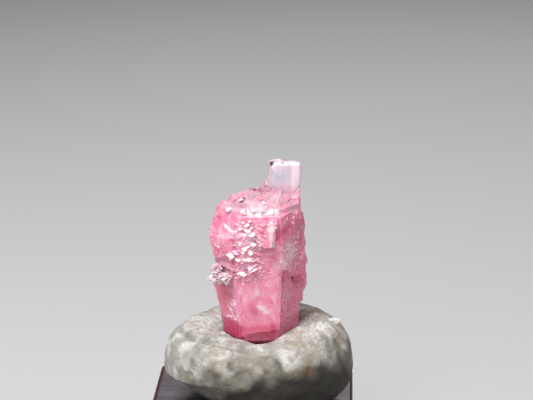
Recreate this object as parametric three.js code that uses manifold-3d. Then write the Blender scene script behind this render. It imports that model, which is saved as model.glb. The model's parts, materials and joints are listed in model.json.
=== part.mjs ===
// A rhodochrosite crystal that stands in a lump of mounting putty on a small sawn block.
// Millimetres, +Z up. The origin is the middle of the block's underside.

import * as THREE from "three";
import { ConvexGeometry } from "three/addons/geometries/ConvexGeometry.js";
import { mergeVertices } from "three/addons/utils/BufferGeometryUtils.js";
import Module from "manifold-3d";

const wasm = await Module();
wasm.setup();

// Driving sizes
const blockSide = 12.7;
const blockHeight = 6.35;
const blockEdge = 0.25; // chamfer on every edge of the block
const specimenTurn = 2.7; // degrees that crystal and putty are turned on the block
const specimenShift = [0.425, 0.35]; // and how far they stand off its middle
const seatGap = 0.03; // clearance between the crystal's foot and the putty
const cleavage = 44.6; // degrees between the upright axis and a cleavage face's normal

const radians = THREE.MathUtils.degToRad;

// The direction in which a face looks: turn degrees to the right of the front, tilt degrees upwards.
function facing(turn, tilt) {
  const a = radians(turn);
  const b = radians(tilt);
  return new THREE.Vector3(Math.sin(a) * Math.cos(b), -Math.cos(a) * Math.cos(b), Math.sin(b));
}

// A number from 0 to 1 that is always the same for the same seed.
function chance(seed) {
  const x = Math.sin(seed * 12.9898 + 4.137) * 43758.5453;
  return x - Math.floor(x);
}

// A form is a convex crystal: a centre, and faces given as [turn, tilt, distance from the centre].
function form(centre, faces) {
  const c = new THREE.Vector3(...centre);
  const planes = faces.map(([turn, tilt, reach]) => {
    const normal = facing(turn, tilt);
    return { normal, offset: normal.dot(c) + reach };
  });
  return { centre: c, planes };
}

// A cleavage rhomb: three pairs of faces about an axis that leans a little off upright.
function rhomb(centre, halves, spin, lean = 0, leanTurn = 0) {
  const c = new THREE.Vector3(...centre);
  const tip = new THREE.Quaternion().setFromAxisAngle(facing(leanTurn + 90, 0), radians(lean));
  const planes = [];
  halves.forEach((half, i) => {
    const normal = facing(spin + 120 * i, 90 - cleavage).applyQuaternion(tip);
    planes.push({ normal, offset: normal.dot(c) + half });
    planes.push({ normal: normal.clone().negate(), offset: -normal.dot(c) + half });
  });
  return { centre: c, planes };
}

// How far a ray from the crystal's inside travels before it leaves the last of the forms.
function reachOf(forms, origin, direction) {
  let far = 0;
  for (const { planes } of forms) {
    let enter = -Infinity;
    let leave = Infinity;
    for (const { normal, offset } of planes) {
      const speed = normal.dot(direction);
      const room = offset - normal.dot(origin);
      if (speed > 1e-9) leave = Math.min(leave, room / speed);
      else if (speed < -1e-9) enter = Math.max(enter, room / speed);
      else if (room < 0) leave = -Infinity;
    }
    if (enter < leave && leave > far) far = leave;
  }
  return far;
}

// Crystal: its main forms, from the foot to the broken head
const footCore = form([0, 0, 12], [
  [4, 0, 2.0], [-50, -3, 1.98], [56, 0, 2.12], [100, 0, 2.43], [140, 0, 2.3], [180, 0, 2.12],
  [-140, 0, 2.3], [-95, 0, 2.14], [4, -50, 1.86], [64, -50, 2.05], [124, -50, 2.05], [-176, -50, 1.95],
  [-116, -50, 1.95], [-56, -50, 1.86], [0, -90, 2.0], [0, 90, 2],
]);
const leftShell = form([0, 0, 14.5], [
  [4, 0, 1.99], [-50, -6, 2.12], [-94, -12, 2.7], [-90, 22, 2.5], [-140, -2, 2.4], [180, 0, 2.2],
  [90, 0, 0.5], [42, -73, 2.06], [0, 90, 2.4],
]);
const centreShell = form([0.15, 0, 14.5], [
  [4, 1, 2.17], [-50, 0, 2.3], [52, 0, 2.29], [-86, -4, 1.22], [85, -2, 1.42], [180, 0, 1],
  [90, -83, 2.7], [0, 90, 3.2],
]);
const rightShell = form([0, 0, 14.5], [
  [4, 0, 2.02], [56, -2, 2.24], [98, -3, 2.5], [140, 0, 2.42], [180, 0, 2.27], [-140, 0, 2.36],
  [-90, 0, 1.2], [70, -78, 2.95], [0, 90, 3],
]);
const headMass = form([0, 0, 17.3], [
  [0, 3, 1.96], [-45, 5, 2.24], [-90, -13, 2.86], [-92, 4, 2.92], [-88, 16, 2.92], [-84, 28, 2.99],
  [-80, 35, 2.45], [-8, 80, 2.08], [48, 4, 2.4], [92, 10, 2.74], [96, 3, 2.68], [138, 6, 2.6],
  [180, 8, 2.35], [-138, 8, 2.55], [175, 50, 2.57], [0, -90, 2.4], [-50, -48, 2.75], [10, -52, 2.55],
  [180, -50, 2.7],
]);
const leftLobe = form([-1.6, -0.6, 18.3], [
  [-38, 20, 0.76], [30, 14, 1.16], [-20, 82, 1.12], [-90, 18, 1.17], [-88, 34, 1.32], [-35, -70, 0.75],
  [150, 0, 1.2], [-150, 10, 1.3], [-100, -30, 1.25], [175, 50, 1.25],
]);
const lobeBulge = form([-1.7, -0.7, 17.2], [
  [-44, -4, 0.92], [-95, 2, 1.27], [-92, -14, 1.21], [-92, -46, 1.34], [-46, 48, 1.0], [12, 4, 1.16],
  [-30, -44, 1.16], [35, 0, 1.25], [140, 0, 1.2], [-150, 0, 1.3],
]);
const grainPad = form([-0.6, -0.9, 16.8], [
  [-6, -4, 1.18], [-44, -5, 1.25], [38, -3, 1.2], [-10, 55, 1.7], [0, -46, 1.45], [180, 0, 1],
  [-90, 0, 1.6], [-70, -30, 1.35], [90, 0, 1.4], [75, -25, 1.35],
]);
const tablet = form([0.42, -1.6, 18.0], [
  [-8, 12, 0.78], [-48, -2, 0.8], [56, 0, 0.86], [92, -6, 0.6], [-78, -14, 0.62], [-46, -50, 0.92],
  [20, -72, 0.9], [-10, 62, 0.96], [180, 0, 1],
]);
const rightCheek = form([2.1, 0, 17.2], [
  [94, 8, 0.64], [96, -2, 0.56], [52, 2, 0.4], [150, 4, 0.9], [12, 3, 1.35], [72, 60, 1.75],
  [66, -58, 1.5], [-90, 0, 1.4],
]);
const rightPlate = form([2.3, 0.1, 14.8], [
  [95, -10, 0.54], [94, 6, 0.62], [52, -3, 0.4], [145, 0, 0.9], [86, -54, 1.76], [86, 58, 1.4],
  [12, -4, 1.6], [50, -68, 2.05], [-90, 0, 1.2],
]);
const backPlate = form([-0.4, 1.2, 15.2], [
  [180, -4, 1.22], [-140, -6, 1.45], [140, -4, 1.35], [-95, -8, 1.5], [92, -6, 1.4], [180, 64, 2.5],
  [-170, -66, 2.4], [0, 0, 1],
]);
const middleStep = form([0.4, 0.2, 19.6], [
  [-92, 4, 1.02], [-8, 77, 0.21], [-6, 12, 1.58], [-46, 14, 1.62], [30, 12, 1.85], [94, 8, 2.0],
  [176, 45, 0.9], [0, -90, 0.9],
]);
const upperStep = form([0.9, 0.2, 20.0], [
  [-80, 30, 0.74], [51, 57, 0.31], [-12, 20, 0.75], [90, 4, 1.6], [178, 35, 0.55], [0, -90, 0.9],
]);
const prongRoot = form([1.5, 0.5, 20.1], [
  [-72, 38, 0.8], [-10, 24, 0.3], [94, -2, 0.98], [0, 90, 0.8], [178, 22, 0.6], [0, -90, 0.9],
  [150, 40, 0.9],
]);
const capLedge = form([0.15, -1.42, 19.28], [
  [-13, 42, 0.12], [-100, 0, 0.85], [80, 5, 0.8], [-10, 78, 0.34], [0, -35, 0.3], [180, 0, 0.6],
  [-50, 25, 0.62], [40, 30, 0.6],
]);
const shoulderTooth = form([-2.1, -0.3, 19.4], [
  [-86, 30, 0.2], [70, 26, 0.16], [0, 20, 0.4], [180, 10, 0.4], [0, -90, 0.5], [-10, 84, 0.17],
]);

const mainForms = [
  footCore, leftShell, centreShell, rightShell, backPlate, rightPlate, rightCheek, headMass, leftLobe,
  lobeBulge, grainPad, tablet, middleStep, upperStep, prongRoot, capLedge, shoulderTooth,
];

// The crystal's backbone, from which grains are set out over its outside.
function backbone(z) {
  return new THREE.Vector3(THREE.MathUtils.mapLinear(z, 12, 20, 0, 0.4), 0, z);
}

// Where a ray from the backbone comes out of the main forms.
function outside(turn, tilt, z) {
  const direction = facing(turn, tilt);
  const origin = backbone(z);
  return origin.addScaledVector(direction, reachOf(mainForms, origin, direction));
}

// Spread a patch's items evenly over its turns and heights, with a little chance in each place.
function scatter({ count, seed, turns, heights, tilt = 0 }) {
  return Array.from({ length: count }, (_, i) => {
    const turn = THREE.MathUtils.lerp(...turns, (i * 0.618034 + chance(seed)) % 1);
    const z = THREE.MathUtils.lerp(...heights, (i + chance(seed + i)) / count);
    return { turn, tilt, k: seed + 13 * i, spot: outside(turn, tilt, z) };
  });
}

// Small cleavage rhombs that grow from the surface, nearly all the same way round.
function grains(patch) {
  return scatter(patch).map(({ turn, tilt, k, spot }) => {
    const half = THREE.MathUtils.lerp(...patch.size, chance(k + 1) ** 1.6);
    const centre = spot.addScaledVector(facing(turn, tilt), -half * patch.sink);
    const halves = [half, half * (0.7 + 0.6 * chance(k + 2)), half * (0.7 + 0.6 * chance(k + 3))];
    const spin = patch.spin + 20 * (chance(k + 4) - 0.5);
    return rhomb(centre.toArray(), halves, spin, 10 * chance(k + 5), 360 * chance(k + 6));
  });
}

// Broken ledges: low five-sided flakes that hug the surface, rolled to any angle.
function ledges(patch) {
  return scatter(patch).map(({ turn, tilt, k, spot }) => {
    const out = facing(turn + 30 * (chance(k) - 0.5), tilt + 16 * (chance(k + 1) - 0.5));
    const across = facing(turn + 90, 0);
    const up = new THREE.Vector3().crossVectors(across, out).negate();
    const planes = [
      { normal: out, offset: out.dot(spot) + THREE.MathUtils.lerp(...patch.rise, chance(k + 2)) },
      { normal: out.clone().negate(), offset: -out.dot(spot) + 0.5 },
    ];
    for (let side = 0; side < 5; side++) {
      const roll = radians(72 * (side + chance(k + 3)) + 30 * chance(k + 4 + side));
      const normal = across.clone().multiplyScalar(Math.cos(roll)).addScaledVector(up, Math.sin(roll));
      normal.multiplyScalar(0.85).addScaledVector(out, 0.5).normalize();
      const reach = THREE.MathUtils.lerp(...patch.size, chance(k + 9 + side));
      planes.push({ normal, offset: normal.dot(spot) + reach });
    }
    return { planes };
  });
}

// Sizes are half widths in millimetres; sink is how far a grain is buried, in half widths.
const sugar = { count: 50, seed: 11, turns: [-46, 4], heights: [15.3, 18.8], size: [0.06, 0.17] };
const capGrains = { count: 10, seed: 301, turns: [-60, 40], heights: [18.9, 19.5], size: [0.08, 0.17] };
const sideGrains = { count: 10, seed: 911, turns: [-70, -46], heights: [12.4, 13.7], size: [0.07, 0.13] };
const grainPatches = [
  { ...sugar, spin: 10, sink: 0.3 },
  { ...capGrains, spin: -12, sink: 0.3 },
  { ...sideGrains, spin: -60, sink: 0.5 },
];

// Rise is how far a ledge stands out, and size how far it reaches from its middle.
const rightBreak = { count: 26, seed: 517, turns: [36, 92], heights: [13.2, 18.4] };
const backBreak = { count: 34, seed: 733, turns: [98, 244], heights: [12.4, 18.3] };
const capBreak = { count: 6, seed: 1009, turns: [-60, 40], heights: [18.4, 18.8], tilt: 55 };
const rearCapBreak = { count: 8, seed: 1127, turns: [135, 250], heights: [17.9, 18.5], tilt: 40 };
const ledgePatches = [
  { ...rightBreak, rise: [0.0, 0.04], size: [0.18, 0.34] },
  { ...backBreak, rise: [0.03, 0.18], size: [0.3, 0.7] },
  { ...capBreak, rise: [0.0, 0.06], size: [0.12, 0.26] },
  { ...rearCapBreak, rise: [0.02, 0.1], size: [0.2, 0.4] },
];

// The white tuft: small rhombs that lean every way, heaped round a core on the left flank.
const tuftCore = form([-2.62, -1.05, 15.2], [
  [-95, 0, 0.34], [-60, 20, 0.42], [-120, 10, 0.4], [-20, -10, 0.4], [-60, 50, 0.62], [-80, -48, 0.42],
  [100, 0, 0.6], [180, 0, 0.5],
]);
const tuft = { count: 26, centre: [-2.62, -1.05, 15.2], spread: [0.36, 0.36, 0.56], size: [0.09, 0.18] };
const tuftGrains = Array.from({ length: tuft.count }, (_, i) => {
  const k = 1201 + i * 9;
  const away = facing(-170 + 160 * chance(k), 90 - 180 * ((i + 0.5) / tuft.count)).toArray();
  const centre = tuft.centre.map((c, axis) => c + tuft.spread[axis] * away[axis]);
  const half = THREE.MathUtils.lerp(...tuft.size, chance(k + 3));
  const halves = [half, half * 0.6, half * (0.6 + 0.8 * chance(k + 4))];
  return rhomb(centre, halves, 360 * chance(k + 5), 60 * chance(k + 6), 360 * chance(k + 7));
});

// The closed solid that a form's faces bound: every corner where three faces meet inside all the others.
function solidOf({ planes }) {
  const corners = [];
  const slack = 1e-7;
  for (let i = 0; i < planes.length; i++)
    for (let j = i + 1; j < planes.length; j++)
      for (let k = j + 1; k < planes.length; k++) {
        const [a, b, c] = [planes[i], planes[j], planes[k]];
        const m = new THREE.Matrix3().set(...a.normal, ...b.normal, ...c.normal);
        if (Math.abs(m.determinant()) < 1e-6) continue;
        const corner = new THREE.Vector3(a.offset, b.offset, c.offset).applyMatrix3(m.invert());
        if (planes.every((p) => p.normal.dot(corner) <= p.offset + slack)) corners.push(corner);
      }
  return manifoldOf(new ConvexGeometry(corners));
}

function manifoldOf(geometry) {
  const bare = geometry.index ? geometry.toNonIndexed() : geometry.clone();
  bare.deleteAttribute("normal");
  bare.deleteAttribute("uv");
  const merged = mergeVertices(bare, 1e-5);
  return new wasm.Manifold(new wasm.Mesh({
    numProp: 3,
    vertProperties: new Float32Array(merged.attributes.position.array),
    triVerts: new Uint32Array(merged.index.array),
  }));
}

function geometryOf(solid) {
  const mesh = solid.getMesh();
  return new THREE.BufferGeometry()
    .setAttribute("position", new THREE.BufferAttribute(new Float32Array(mesh.vertProperties), 3))
    .setIndex(new THREE.BufferAttribute(new Uint32Array(mesh.triVerts), 1));
}

const join = (solids) => solids.reduce((whole, next) => whole.add(next));

// The prong: a thin tapered plate that sticks up at the right, with a notch in its top edge.
const prongThickness = 0.57;
const prongFront = 0.03; // how far back its front face stands
function prongSolid() {
  const outline = new THREE.Shape();
  outline.moveTo(0.24, 19.2);
  outline.lineTo(0.3, 20.5);
  outline.lineTo(0.45, 20.75);
  outline.lineTo(0.67, 21.4);
  outline.lineTo(0.6, 22.02);
  outline.lineTo(1.3, 22.12);
  outline.lineTo(1.5, 21.92);
  outline.lineTo(1.7, 22.0);
  outline.lineTo(2.53, 21.94);
  outline.lineTo(2.64, 21.2);
  outline.lineTo(2.46, 19.2);
  const plate = new THREE.ExtrudeGeometry(outline, { depth: prongThickness, bevelEnabled: false });
  plate.rotateX(Math.PI / 2); // the outline's height becomes Z, and its depth runs forwards
  plate.translate(0, prongFront + prongThickness, 0);
  return manifoldOf(plate);
}
const prongCurl = form([0.72, -0.05, 21.72], [
  [-90, 4, 0.12], [60, -10, 0.16], [-20, 0, 0.3], [180, 0, 0.4], [0, 78, 0.36], [-30, -60, 0.4],
]);
const prongRim = form([2.42, 0.2, 20.9], [
  [92, 3, 0.18], [-50, 0, 0.3], [0, 0, 0.3], [180, 0, 0.35], [0, 90, 0.95], [0, -90, 1.2],
]);

function crystalSolid() {
  const tuftForms = [tuftCore, ...tuftGrains];
  const roughness = [...grainPatches.flatMap(grains), ...ledgePatches.flatMap(ledges)];
  const forms = [...mainForms, ...roughness, ...tuftForms, prongCurl, prongRim];
  return join([...forms.map(solidOf), prongSolid()]);
}

// Putty: a pinched ring with a hollow in the middle, flat below where it sits on the block.
// Each row goes round from the front by way of the right: front, front right, right, back right,
// back, back left, left and front left.
const puttyRound = {
  foot: [3.3, 2.9, 3.4, 3.8, 4.0, 3.1, 2.4, 2.6],
  waist: [5.6, 5.8, 5.8, 5.5, 5.5, 5.65, 5.85, 5.7],
  waistHeight: [9.5, 8.9, 8.6, 9.0, 9.1, 8.9, 8.7, 9.2],
  straightness: [1.3, 1.4, 1.2, 1.2, 1.2, 1.6, 2.2, 1.9], // of the flank under the waist
  rim: [2.75, 2.9, 3.4, 3.3, 3.2, 3.2, 3.2, 2.9],
  rimHeight: [11.25, 11.8, 12.0, 11.9, 11.9, 11.7, 11.6, 11.6],
};
// Dents and lumps where it was pressed: [turn, height, half width, depth, a lump where negative].
const puttyDents = [
  [-8, 10.3, 0.8, 0.22], [-48, 10.5, 0.9, -0.16], [-76, 9.7, 1.1, 0.16], [-30, 9.4, 0.8, 0.14],
  [24, 10.4, 1.0, -0.2], [38, 9.1, 0.9, 0.16], [62, 10.7, 0.8, 0.14], [88, 9.6, 1.0, -0.1],
  [118, 10.4, 1.1, 0.2], [146, 8.8, 1.2, -0.18], [176, 10.2, 1.1, 0.18], [204, 9.2, 1.0, -0.16],
  [226, 10.6, 1.0, 0.18], [250, 8.9, 1.1, 0.16], [8, 8.2, 1.1, -0.15],
];
const puttySteps = 72;
const hollowReach = 1.3;
const hollowFloor = 10.7;

// A value of one row at any turn, smooth and closed round the ring.
function round(row, share) {
  const at = share * row.length;
  const i = Math.floor(at);
  const t = at - i;
  const [a, b, c, d] = [-1, 0, 1, 2].map((k) => row[(i + k + row.length) % row.length]);
  return b + 0.5 * t * (c - a + t * (2 * a - 5 * b + 4 * c - d + t * (3 * (b - c) + d - a)));
}

// The section at one turn: under side, swelling flank, rim, and down into the hollow.
function puttySection(share) {
  const { foot, waist, waistHeight, straightness, rim, rimHeight } = Object.fromEntries(
    Object.entries(puttyRound).map(([name, row]) => [name, round(row, share)]),
  );
  const points = [];
  const quarter = Math.PI / 2;
  for (let i = 0; i < 6; i++) {
    const t = (i / 6) * quarter;
    const [cos, sin] = [Math.cos(t) ** straightness, Math.sin(t) ** straightness];
    points.push([foot + (waist - foot) * sin, waistHeight - (waistHeight - blockHeight) * cos]);
  }
  for (let i = 0; i < 8; i++) {
    const t = (i / 8) * quarter;
    const [cos, sin] = [Math.cos(t) ** 0.75, Math.sin(t) ** 0.75];
    points.push([rim + (waist - rim) * cos, waistHeight + (rimHeight - waistHeight) * sin]);
  }
  for (let i = 0; i <= 4; i++) {
    const t = i / 4;
    points.push([
      THREE.MathUtils.lerp(rim, hollowReach, t ** 0.8),
      THREE.MathUtils.lerp(rimHeight, hollowFloor, 0.5 - 0.5 * Math.cos(Math.PI * t)),
    ]);
  }
  return points;
}

// How deep the dents are at a point of the putty's outside.
function dentDepth(turn, out, up) {
  let depth = 0;
  for (const [at, height, half, deep] of puttyDents) {
    const along = radians(THREE.MathUtils.euclideanModulo(turn - at + 180, 360) - 180) * out;
    depth += deep * Math.exp(-(along ** 2 + (up - height) ** 2) / half ** 2);
  }
  return depth;
}

function puttySolid(seat) {
  const ring = Array.from({ length: puttySteps }, (_, i) => puttySection(i / puttySteps));
  const positions = [0, 0, blockHeight, 0, 0, hollowFloor];
  const rows = ring[0].length;
  ring.forEach((points, i) => {
    const turn = (360 * i) / puttySteps;
    const direction = facing(turn, 0);
    points.forEach(([out, up], j) => {
      const pressed = j === 0 ? out : out - dentDepth(turn, out, up);
      positions.push(direction.x * pressed, direction.y * pressed, up);
    });
  });
  const at = (i, j) => 2 + (i % puttySteps) * rows + j;
  const faces = [];
  for (let i = 0; i < puttySteps; i++) {
    faces.push(0, at(i + 1, 0), at(i, 0));
    faces.push(1, at(i, rows - 1), at(i + 1, rows - 1));
    for (let j = 0; j < rows - 1; j++) {
      faces.push(at(i, j), at(i + 1, j), at(i + 1, j + 1));
      faces.push(at(i, j), at(i + 1, j + 1), at(i, j + 1));
    }
  }
  const lump = new THREE.BufferGeometry()
    .setAttribute("position", new THREE.Float32BufferAttribute(positions, 3))
    .setIndex(faces);
  return manifoldOf(lump).subtract(seat);
}

// The putty is pressed round the crystal's foot, a hair's breadth clear of it.
function wider({ planes }, gap) {
  return { planes: planes.map(({ normal, offset }) => ({ normal, offset: offset + gap })) };
}
const seat = join([footCore, leftShell, centreShell, rightShell].map((f) => solidOf(wider(f, seatGap))));

// Block: square stock, sawn to length, with its edges eased
function blockGeometry() {
  const half = blockSide / 2 - blockEdge;
  const square = new THREE.Shape([
    new THREE.Vector2(-half, -half),
    new THREE.Vector2(half, -half),
    new THREE.Vector2(half, half),
    new THREE.Vector2(-half, half),
  ]);
  const block = new THREE.ExtrudeGeometry(square, {
    depth: blockHeight - 2 * blockEdge,
    bevelEnabled: true,
    bevelSegments: 1,
    bevelSize: blockEdge,
    bevelThickness: blockEdge,
  });
  return block.translate(0, 0, blockEdge);
}

function piece(name, geometry, colour, roughness) {
  const look = { color: colour, roughness, metalness: 0, flatShading: true };
  const material = new THREE.MeshStandardMaterial(look);
  const mesh = new THREE.Mesh(geometry, material);
  mesh.name = name;
  return mesh;
}

const specimen = new THREE.Group();
specimen.rotation.z = radians(specimenTurn);
specimen.position.set(...specimenShift, 0);
specimen.add(piece("rhodochrosite_crystal", geometryOf(crystalSolid()), "#e0668c", 0.3));
specimen.add(piece("putty_mount", geometryOf(puttySolid(seat)), "#c9c4b4", 0.6));

const display = new THREE.Group();
display.add(specimen);
display.add(piece("sawn_block", blockGeometry(), "#4a4248", 0.5));

export default display;
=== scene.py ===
import json
import math
from itertools import combinations

import bmesh
import bpy
import numpy as np
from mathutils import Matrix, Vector

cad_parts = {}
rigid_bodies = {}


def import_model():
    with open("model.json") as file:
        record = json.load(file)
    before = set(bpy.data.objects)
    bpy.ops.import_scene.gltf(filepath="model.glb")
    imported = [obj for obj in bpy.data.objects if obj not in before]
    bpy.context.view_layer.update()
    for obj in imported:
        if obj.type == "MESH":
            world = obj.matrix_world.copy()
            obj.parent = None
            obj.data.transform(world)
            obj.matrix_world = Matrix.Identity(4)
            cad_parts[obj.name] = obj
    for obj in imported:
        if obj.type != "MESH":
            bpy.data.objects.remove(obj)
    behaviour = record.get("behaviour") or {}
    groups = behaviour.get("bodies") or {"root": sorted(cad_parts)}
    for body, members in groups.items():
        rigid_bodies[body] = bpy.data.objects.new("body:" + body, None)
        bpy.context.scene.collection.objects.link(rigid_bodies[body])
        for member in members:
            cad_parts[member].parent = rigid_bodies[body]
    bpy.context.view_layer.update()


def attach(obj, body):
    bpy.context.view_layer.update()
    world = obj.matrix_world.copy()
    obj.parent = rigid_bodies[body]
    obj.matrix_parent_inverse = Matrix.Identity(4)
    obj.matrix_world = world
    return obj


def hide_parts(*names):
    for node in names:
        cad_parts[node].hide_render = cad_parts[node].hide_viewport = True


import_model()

# A rhodochrosite crystal, pressed into a ring of putty on a small sawn block.
# Shapes are worked out in millimetres in the crystal's own frame (front is -Y), then stood on the block.
mm = 0.001

specimen = {
    "turn": 2.7,  # degrees that crystal and putty are turned on the block
    "shift": (0.425, 0.35, 0.0),  # and how far they stand off its middle
}


# Turns points about Z by the specimen's turn, then moves them by its shift, in millimetres.
def standOnBlock(points):
    a = math.radians(specimen["turn"])
    x, y, z = np.asarray(points, float).T
    turned = np.stack([x * math.cos(a) - y * math.sin(a), x * math.sin(a) + y * math.cos(a), z], axis=-1)
    return turned + specimen["shift"]


# The direction that looks turn degrees to the right of the front and tilt degrees upwards.
def facing(turn, tilt):
    a, b = np.radians(turn), np.radians(tilt)
    return np.stack([np.sin(a) * np.cos(b), -np.cos(a) * np.cos(b), np.sin(b) + 0 * a], axis=-1)


# A number from 0 to 1 that is always the same for the same seed: the fraction of a large sine.
def chance(seed):
    x = np.sin(np.asarray(seed, float) * 12.9898 + 4.137) * 43758.5453
    return x - np.floor(x)


# Three of these side by side, as the rows of an array.
def threeChances(seed, first, second, third):
    return np.stack([chance(seed + step) for step in (first, second, third)], axis=-1)


# Low at share 0, high at share 1, and a straight line between.
def blend(low, high, share):
    return low + (high - low) * share


# 0 well below the edge and 1 well above it, by a logistic curve; the other way round if soft is negative.
def fade(value, edge, soft):
    return 1 / (1 + np.exp((edge - value) / soft))


# Smooth value noise from 0 to 1: eight hashed corners of a cubic cell, mixed by an S-curve along each axis.
def softNoise(points, cell, seed):
    at = np.asarray(points, float) / cell
    low = np.floor(at)
    t = at - low
    t = t * t * (3 - 2 * t)
    total = 0
    for corner in range(8):
        step = np.array([corner & 1, corner >> 1 & 1, corner >> 2 & 1])
        spot = low + step
        value = np.sin(spot @ np.array([12.9898, 78.233, 37.719]) + seed * 5.17) * 43758.5453
        weight = np.prod(np.where(step, t, 1 - t), axis=-1)
        total = total + weight * (value - np.floor(value))
    return total


# The same noise about zero, from -0.5 to 0.5.
def ripple(points, cell, seed):
    return softNoise(points, cell, seed) - 0.5


# A sum of soft blobs at points: each one's strength times exp(-distance squared), with a radius per axis.
def softSpots(points, spots):
    total = np.zeros(len(points))
    for x, y, z, wide, deep, tall, strength in spots:
        away = (points - (x, y, z)) / (wide, deep, tall)
        total += strength * np.exp(-(away**2).sum(axis=1))
    return total


# Corner numbers of a grid of rows and columns that closes round its columns, with a pole at each end.
def closedGrid(rows, columns):
    at = 1 + np.arange(rows * columns).reshape(rows, columns)
    right = np.roll(at, -1, axis=1)
    quads = np.stack([at[:-1], right[:-1], right[1:], at[1:]], axis=-1).reshape(-1, 4)
    last = rows * columns + 1
    low = np.stack([np.zeros(columns, int), right[0], at[0]], axis=-1)
    high = np.stack([np.full(columns, last), at[-1], right[-1]], axis=-1)
    return quads, np.concatenate([low, high])


# A mesh of points in millimetres and lists of faces, with one float attribute for each mask.
def makeMesh(name, points, faces, masks=None, smooth=True):
    mesh = bpy.data.meshes.new(name)
    mesh.from_pydata((np.asarray(points) * mm).tolist(), [], [f for part in faces for f in part.tolist()])
    for mask, values in (masks or {}).items():
        mesh.attributes.new(mask, "FLOAT", "POINT").data.foreach_set("value", values.astype(np.float32))
    mesh.polygons.foreach_set("use_smooth", np.full(len(mesh.polygons), smooth))
    return mesh


# Makes that mesh a piece of the model that stands for a CAD node.
def makePiece(name, points, faces, slot, node, masks=None, smooth=True):
    piece = bpy.data.objects.new(name, makeMesh(name, points, faces, masks, smooth))
    bpy.context.scene.collection.objects.link(piece)
    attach(piece, "root")
    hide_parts(node)
    return piece


# Sorts solids into groups whose members keep clear of each other. The radius of each is most of the distance
# from its centre to its furthest corner, since a grain's corners are sharp.
def clearGroups(centres, corners):
    radii = 0.8 * np.linalg.norm(corners - centres[:, None], axis=2).max(axis=1)
    group = np.zeros(len(centres), int)
    for i in range(1, len(centres)):
        near = np.linalg.norm(centres[:i] - centres[i], axis=1) < radii[:i] + radii[i]
        taken = set(group[:i][near].tolist())
        group[i] = next(g for g in range(len(taken) + 1) if g not in taken)
    return group


# Gives each point that a union has made the mean of its neighbours' masks, from the known points inwards.
def fillMasks(mesh):
    names = [a.name for a in mesh.attributes if a.domain == "POINT" and a.data_type == "FLOAT"]
    count = len(mesh.vertices)
    values = np.empty((len(names), count), np.float32)
    for row, name in zip(values, names):
        mesh.attributes[name].data.foreach_get("value", row)
    known = values[names.index("known")] == 1
    ends = np.empty(2 * len(mesh.edges), np.int32)
    mesh.edges.foreach_get("vertices", ends)
    ends = ends.reshape(-1, 2)
    pairs = np.vstack([ends, ends[:, ::-1]])
    rings = 12  # the widest patch of new points is narrower than this
    for _ in range(rings):
        used = pairs[known[pairs[:, 0]] & ~known[pairs[:, 1]]]
        near = np.bincount(used[:, 1], minlength=count)
        new = near > 0
        for row in values:
            row[new] = np.bincount(used[:, 1], row[used[:, 0]], minlength=count)[new] / near[new]
        known |= new
    for row, name in zip(values, names):
        mesh.attributes[name].data.foreach_set("value", row)
    mesh.attributes.remove(mesh.attributes["known"])


# Joins closed solids to a piece by one union, each group as one operand, and marks edges sharp that turn by
# more than edgeAngle.
def joinSolids(piece, groups, edgeAngle):
    loose = bpy.data.collections.new("looseSolids")
    marked = piece.data.attributes.new("known", "FLOAT", "POINT")
    marked.data.foreach_set("value", np.ones(len(piece.data.vertices), np.float32))
    for i, (points, faces, masks) in enumerate(groups):
        masks = {**masks, "known": np.ones(len(points))}
        solid = bpy.data.objects.new(f"solid{i}", makeMesh(f"solid{i}", points, faces, masks))
        loose.objects.link(solid)
    bpy.context.scene.collection.children.link(loose)
    union = piece.modifiers.new("union", "BOOLEAN")
    union.operation = "UNION"
    union.solver = "MANIFOLD"
    union.operand_type = "COLLECTION"
    union.collection = loose
    joined = bpy.data.meshes.new_from_object(piece.evaluated_get(bpy.context.evaluated_depsgraph_get()))
    piece.modifiers.clear()
    old, piece.data = piece.data, joined
    bpy.data.meshes.remove(old)
    for solid in list(loose.objects):
        bpy.data.meshes.remove(solid.data)
    bpy.data.collections.remove(loose)
    joined.name = piece.name
    fillMasks(joined)
    joined.materials.clear()
    joined.polygons.foreach_set("material_index", np.zeros(len(joined.polygons), np.int32))
    joined.polygons.foreach_set("use_smooth", np.full(len(joined.polygons), True))
    joined.set_sharp_from_angle(angle=math.radians(edgeAngle))


view = {
    "aim": (0.488, 0.0, 19.63),  # mm, in the crystal's frame
    "distance": 106.75,
    "pitch": 16.5,  # degrees above the horizon
    "lens": 118.2,  # for a 36 mm sensor
}
studio = {
    "floor": (0.44, 0.44, 0.45),
    "floorHalf": 3.0,  # metres
    "world": (0.78, 0.8, 0.84),
    "worldStrength": 0.12,
    "target": (0, 0, 0.015),  # what the lamps point at, in metres
    # name: turn and tilt it comes from, distance and width in mm, power in watts, colour
    "lamps": {
        "keyLamp": (-43, 64, 160, 70, 0.34, (1.0, 0.985, 0.96)),
        "frontLamp": (-14, 38, 260, 150, 0.28, (0.97, 0.98, 1.0)),
        "rightLamp": (70, 34, 240, 100, 0.15, (1.0, 0.98, 0.97)),
        "backLamp": (172, 45, 220, 100, 0.14, (1.0, 0.97, 0.98)),
    },
}


# The camera stands back from its aim by the distance, along the line that rises by the pitch.
def makeCamera():
    camera = bpy.data.objects.new("camera", bpy.data.cameras.new("camera"))
    camera.data.lens = view["lens"]
    camera.data.clip_start = 0.001
    aim = np.array(view["aim"])
    eye = aim + facing(0.0, view["pitch"]) * view["distance"]
    aim, eye = (Vector(p * mm) for p in standOnBlock([aim, eye]))
    camera.location = eye
    camera.rotation_euler = (aim - eye).to_track_quat("-Z", "Y").to_euler()
    bpy.context.scene.collection.objects.link(camera)
    bpy.context.scene.camera = camera


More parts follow.
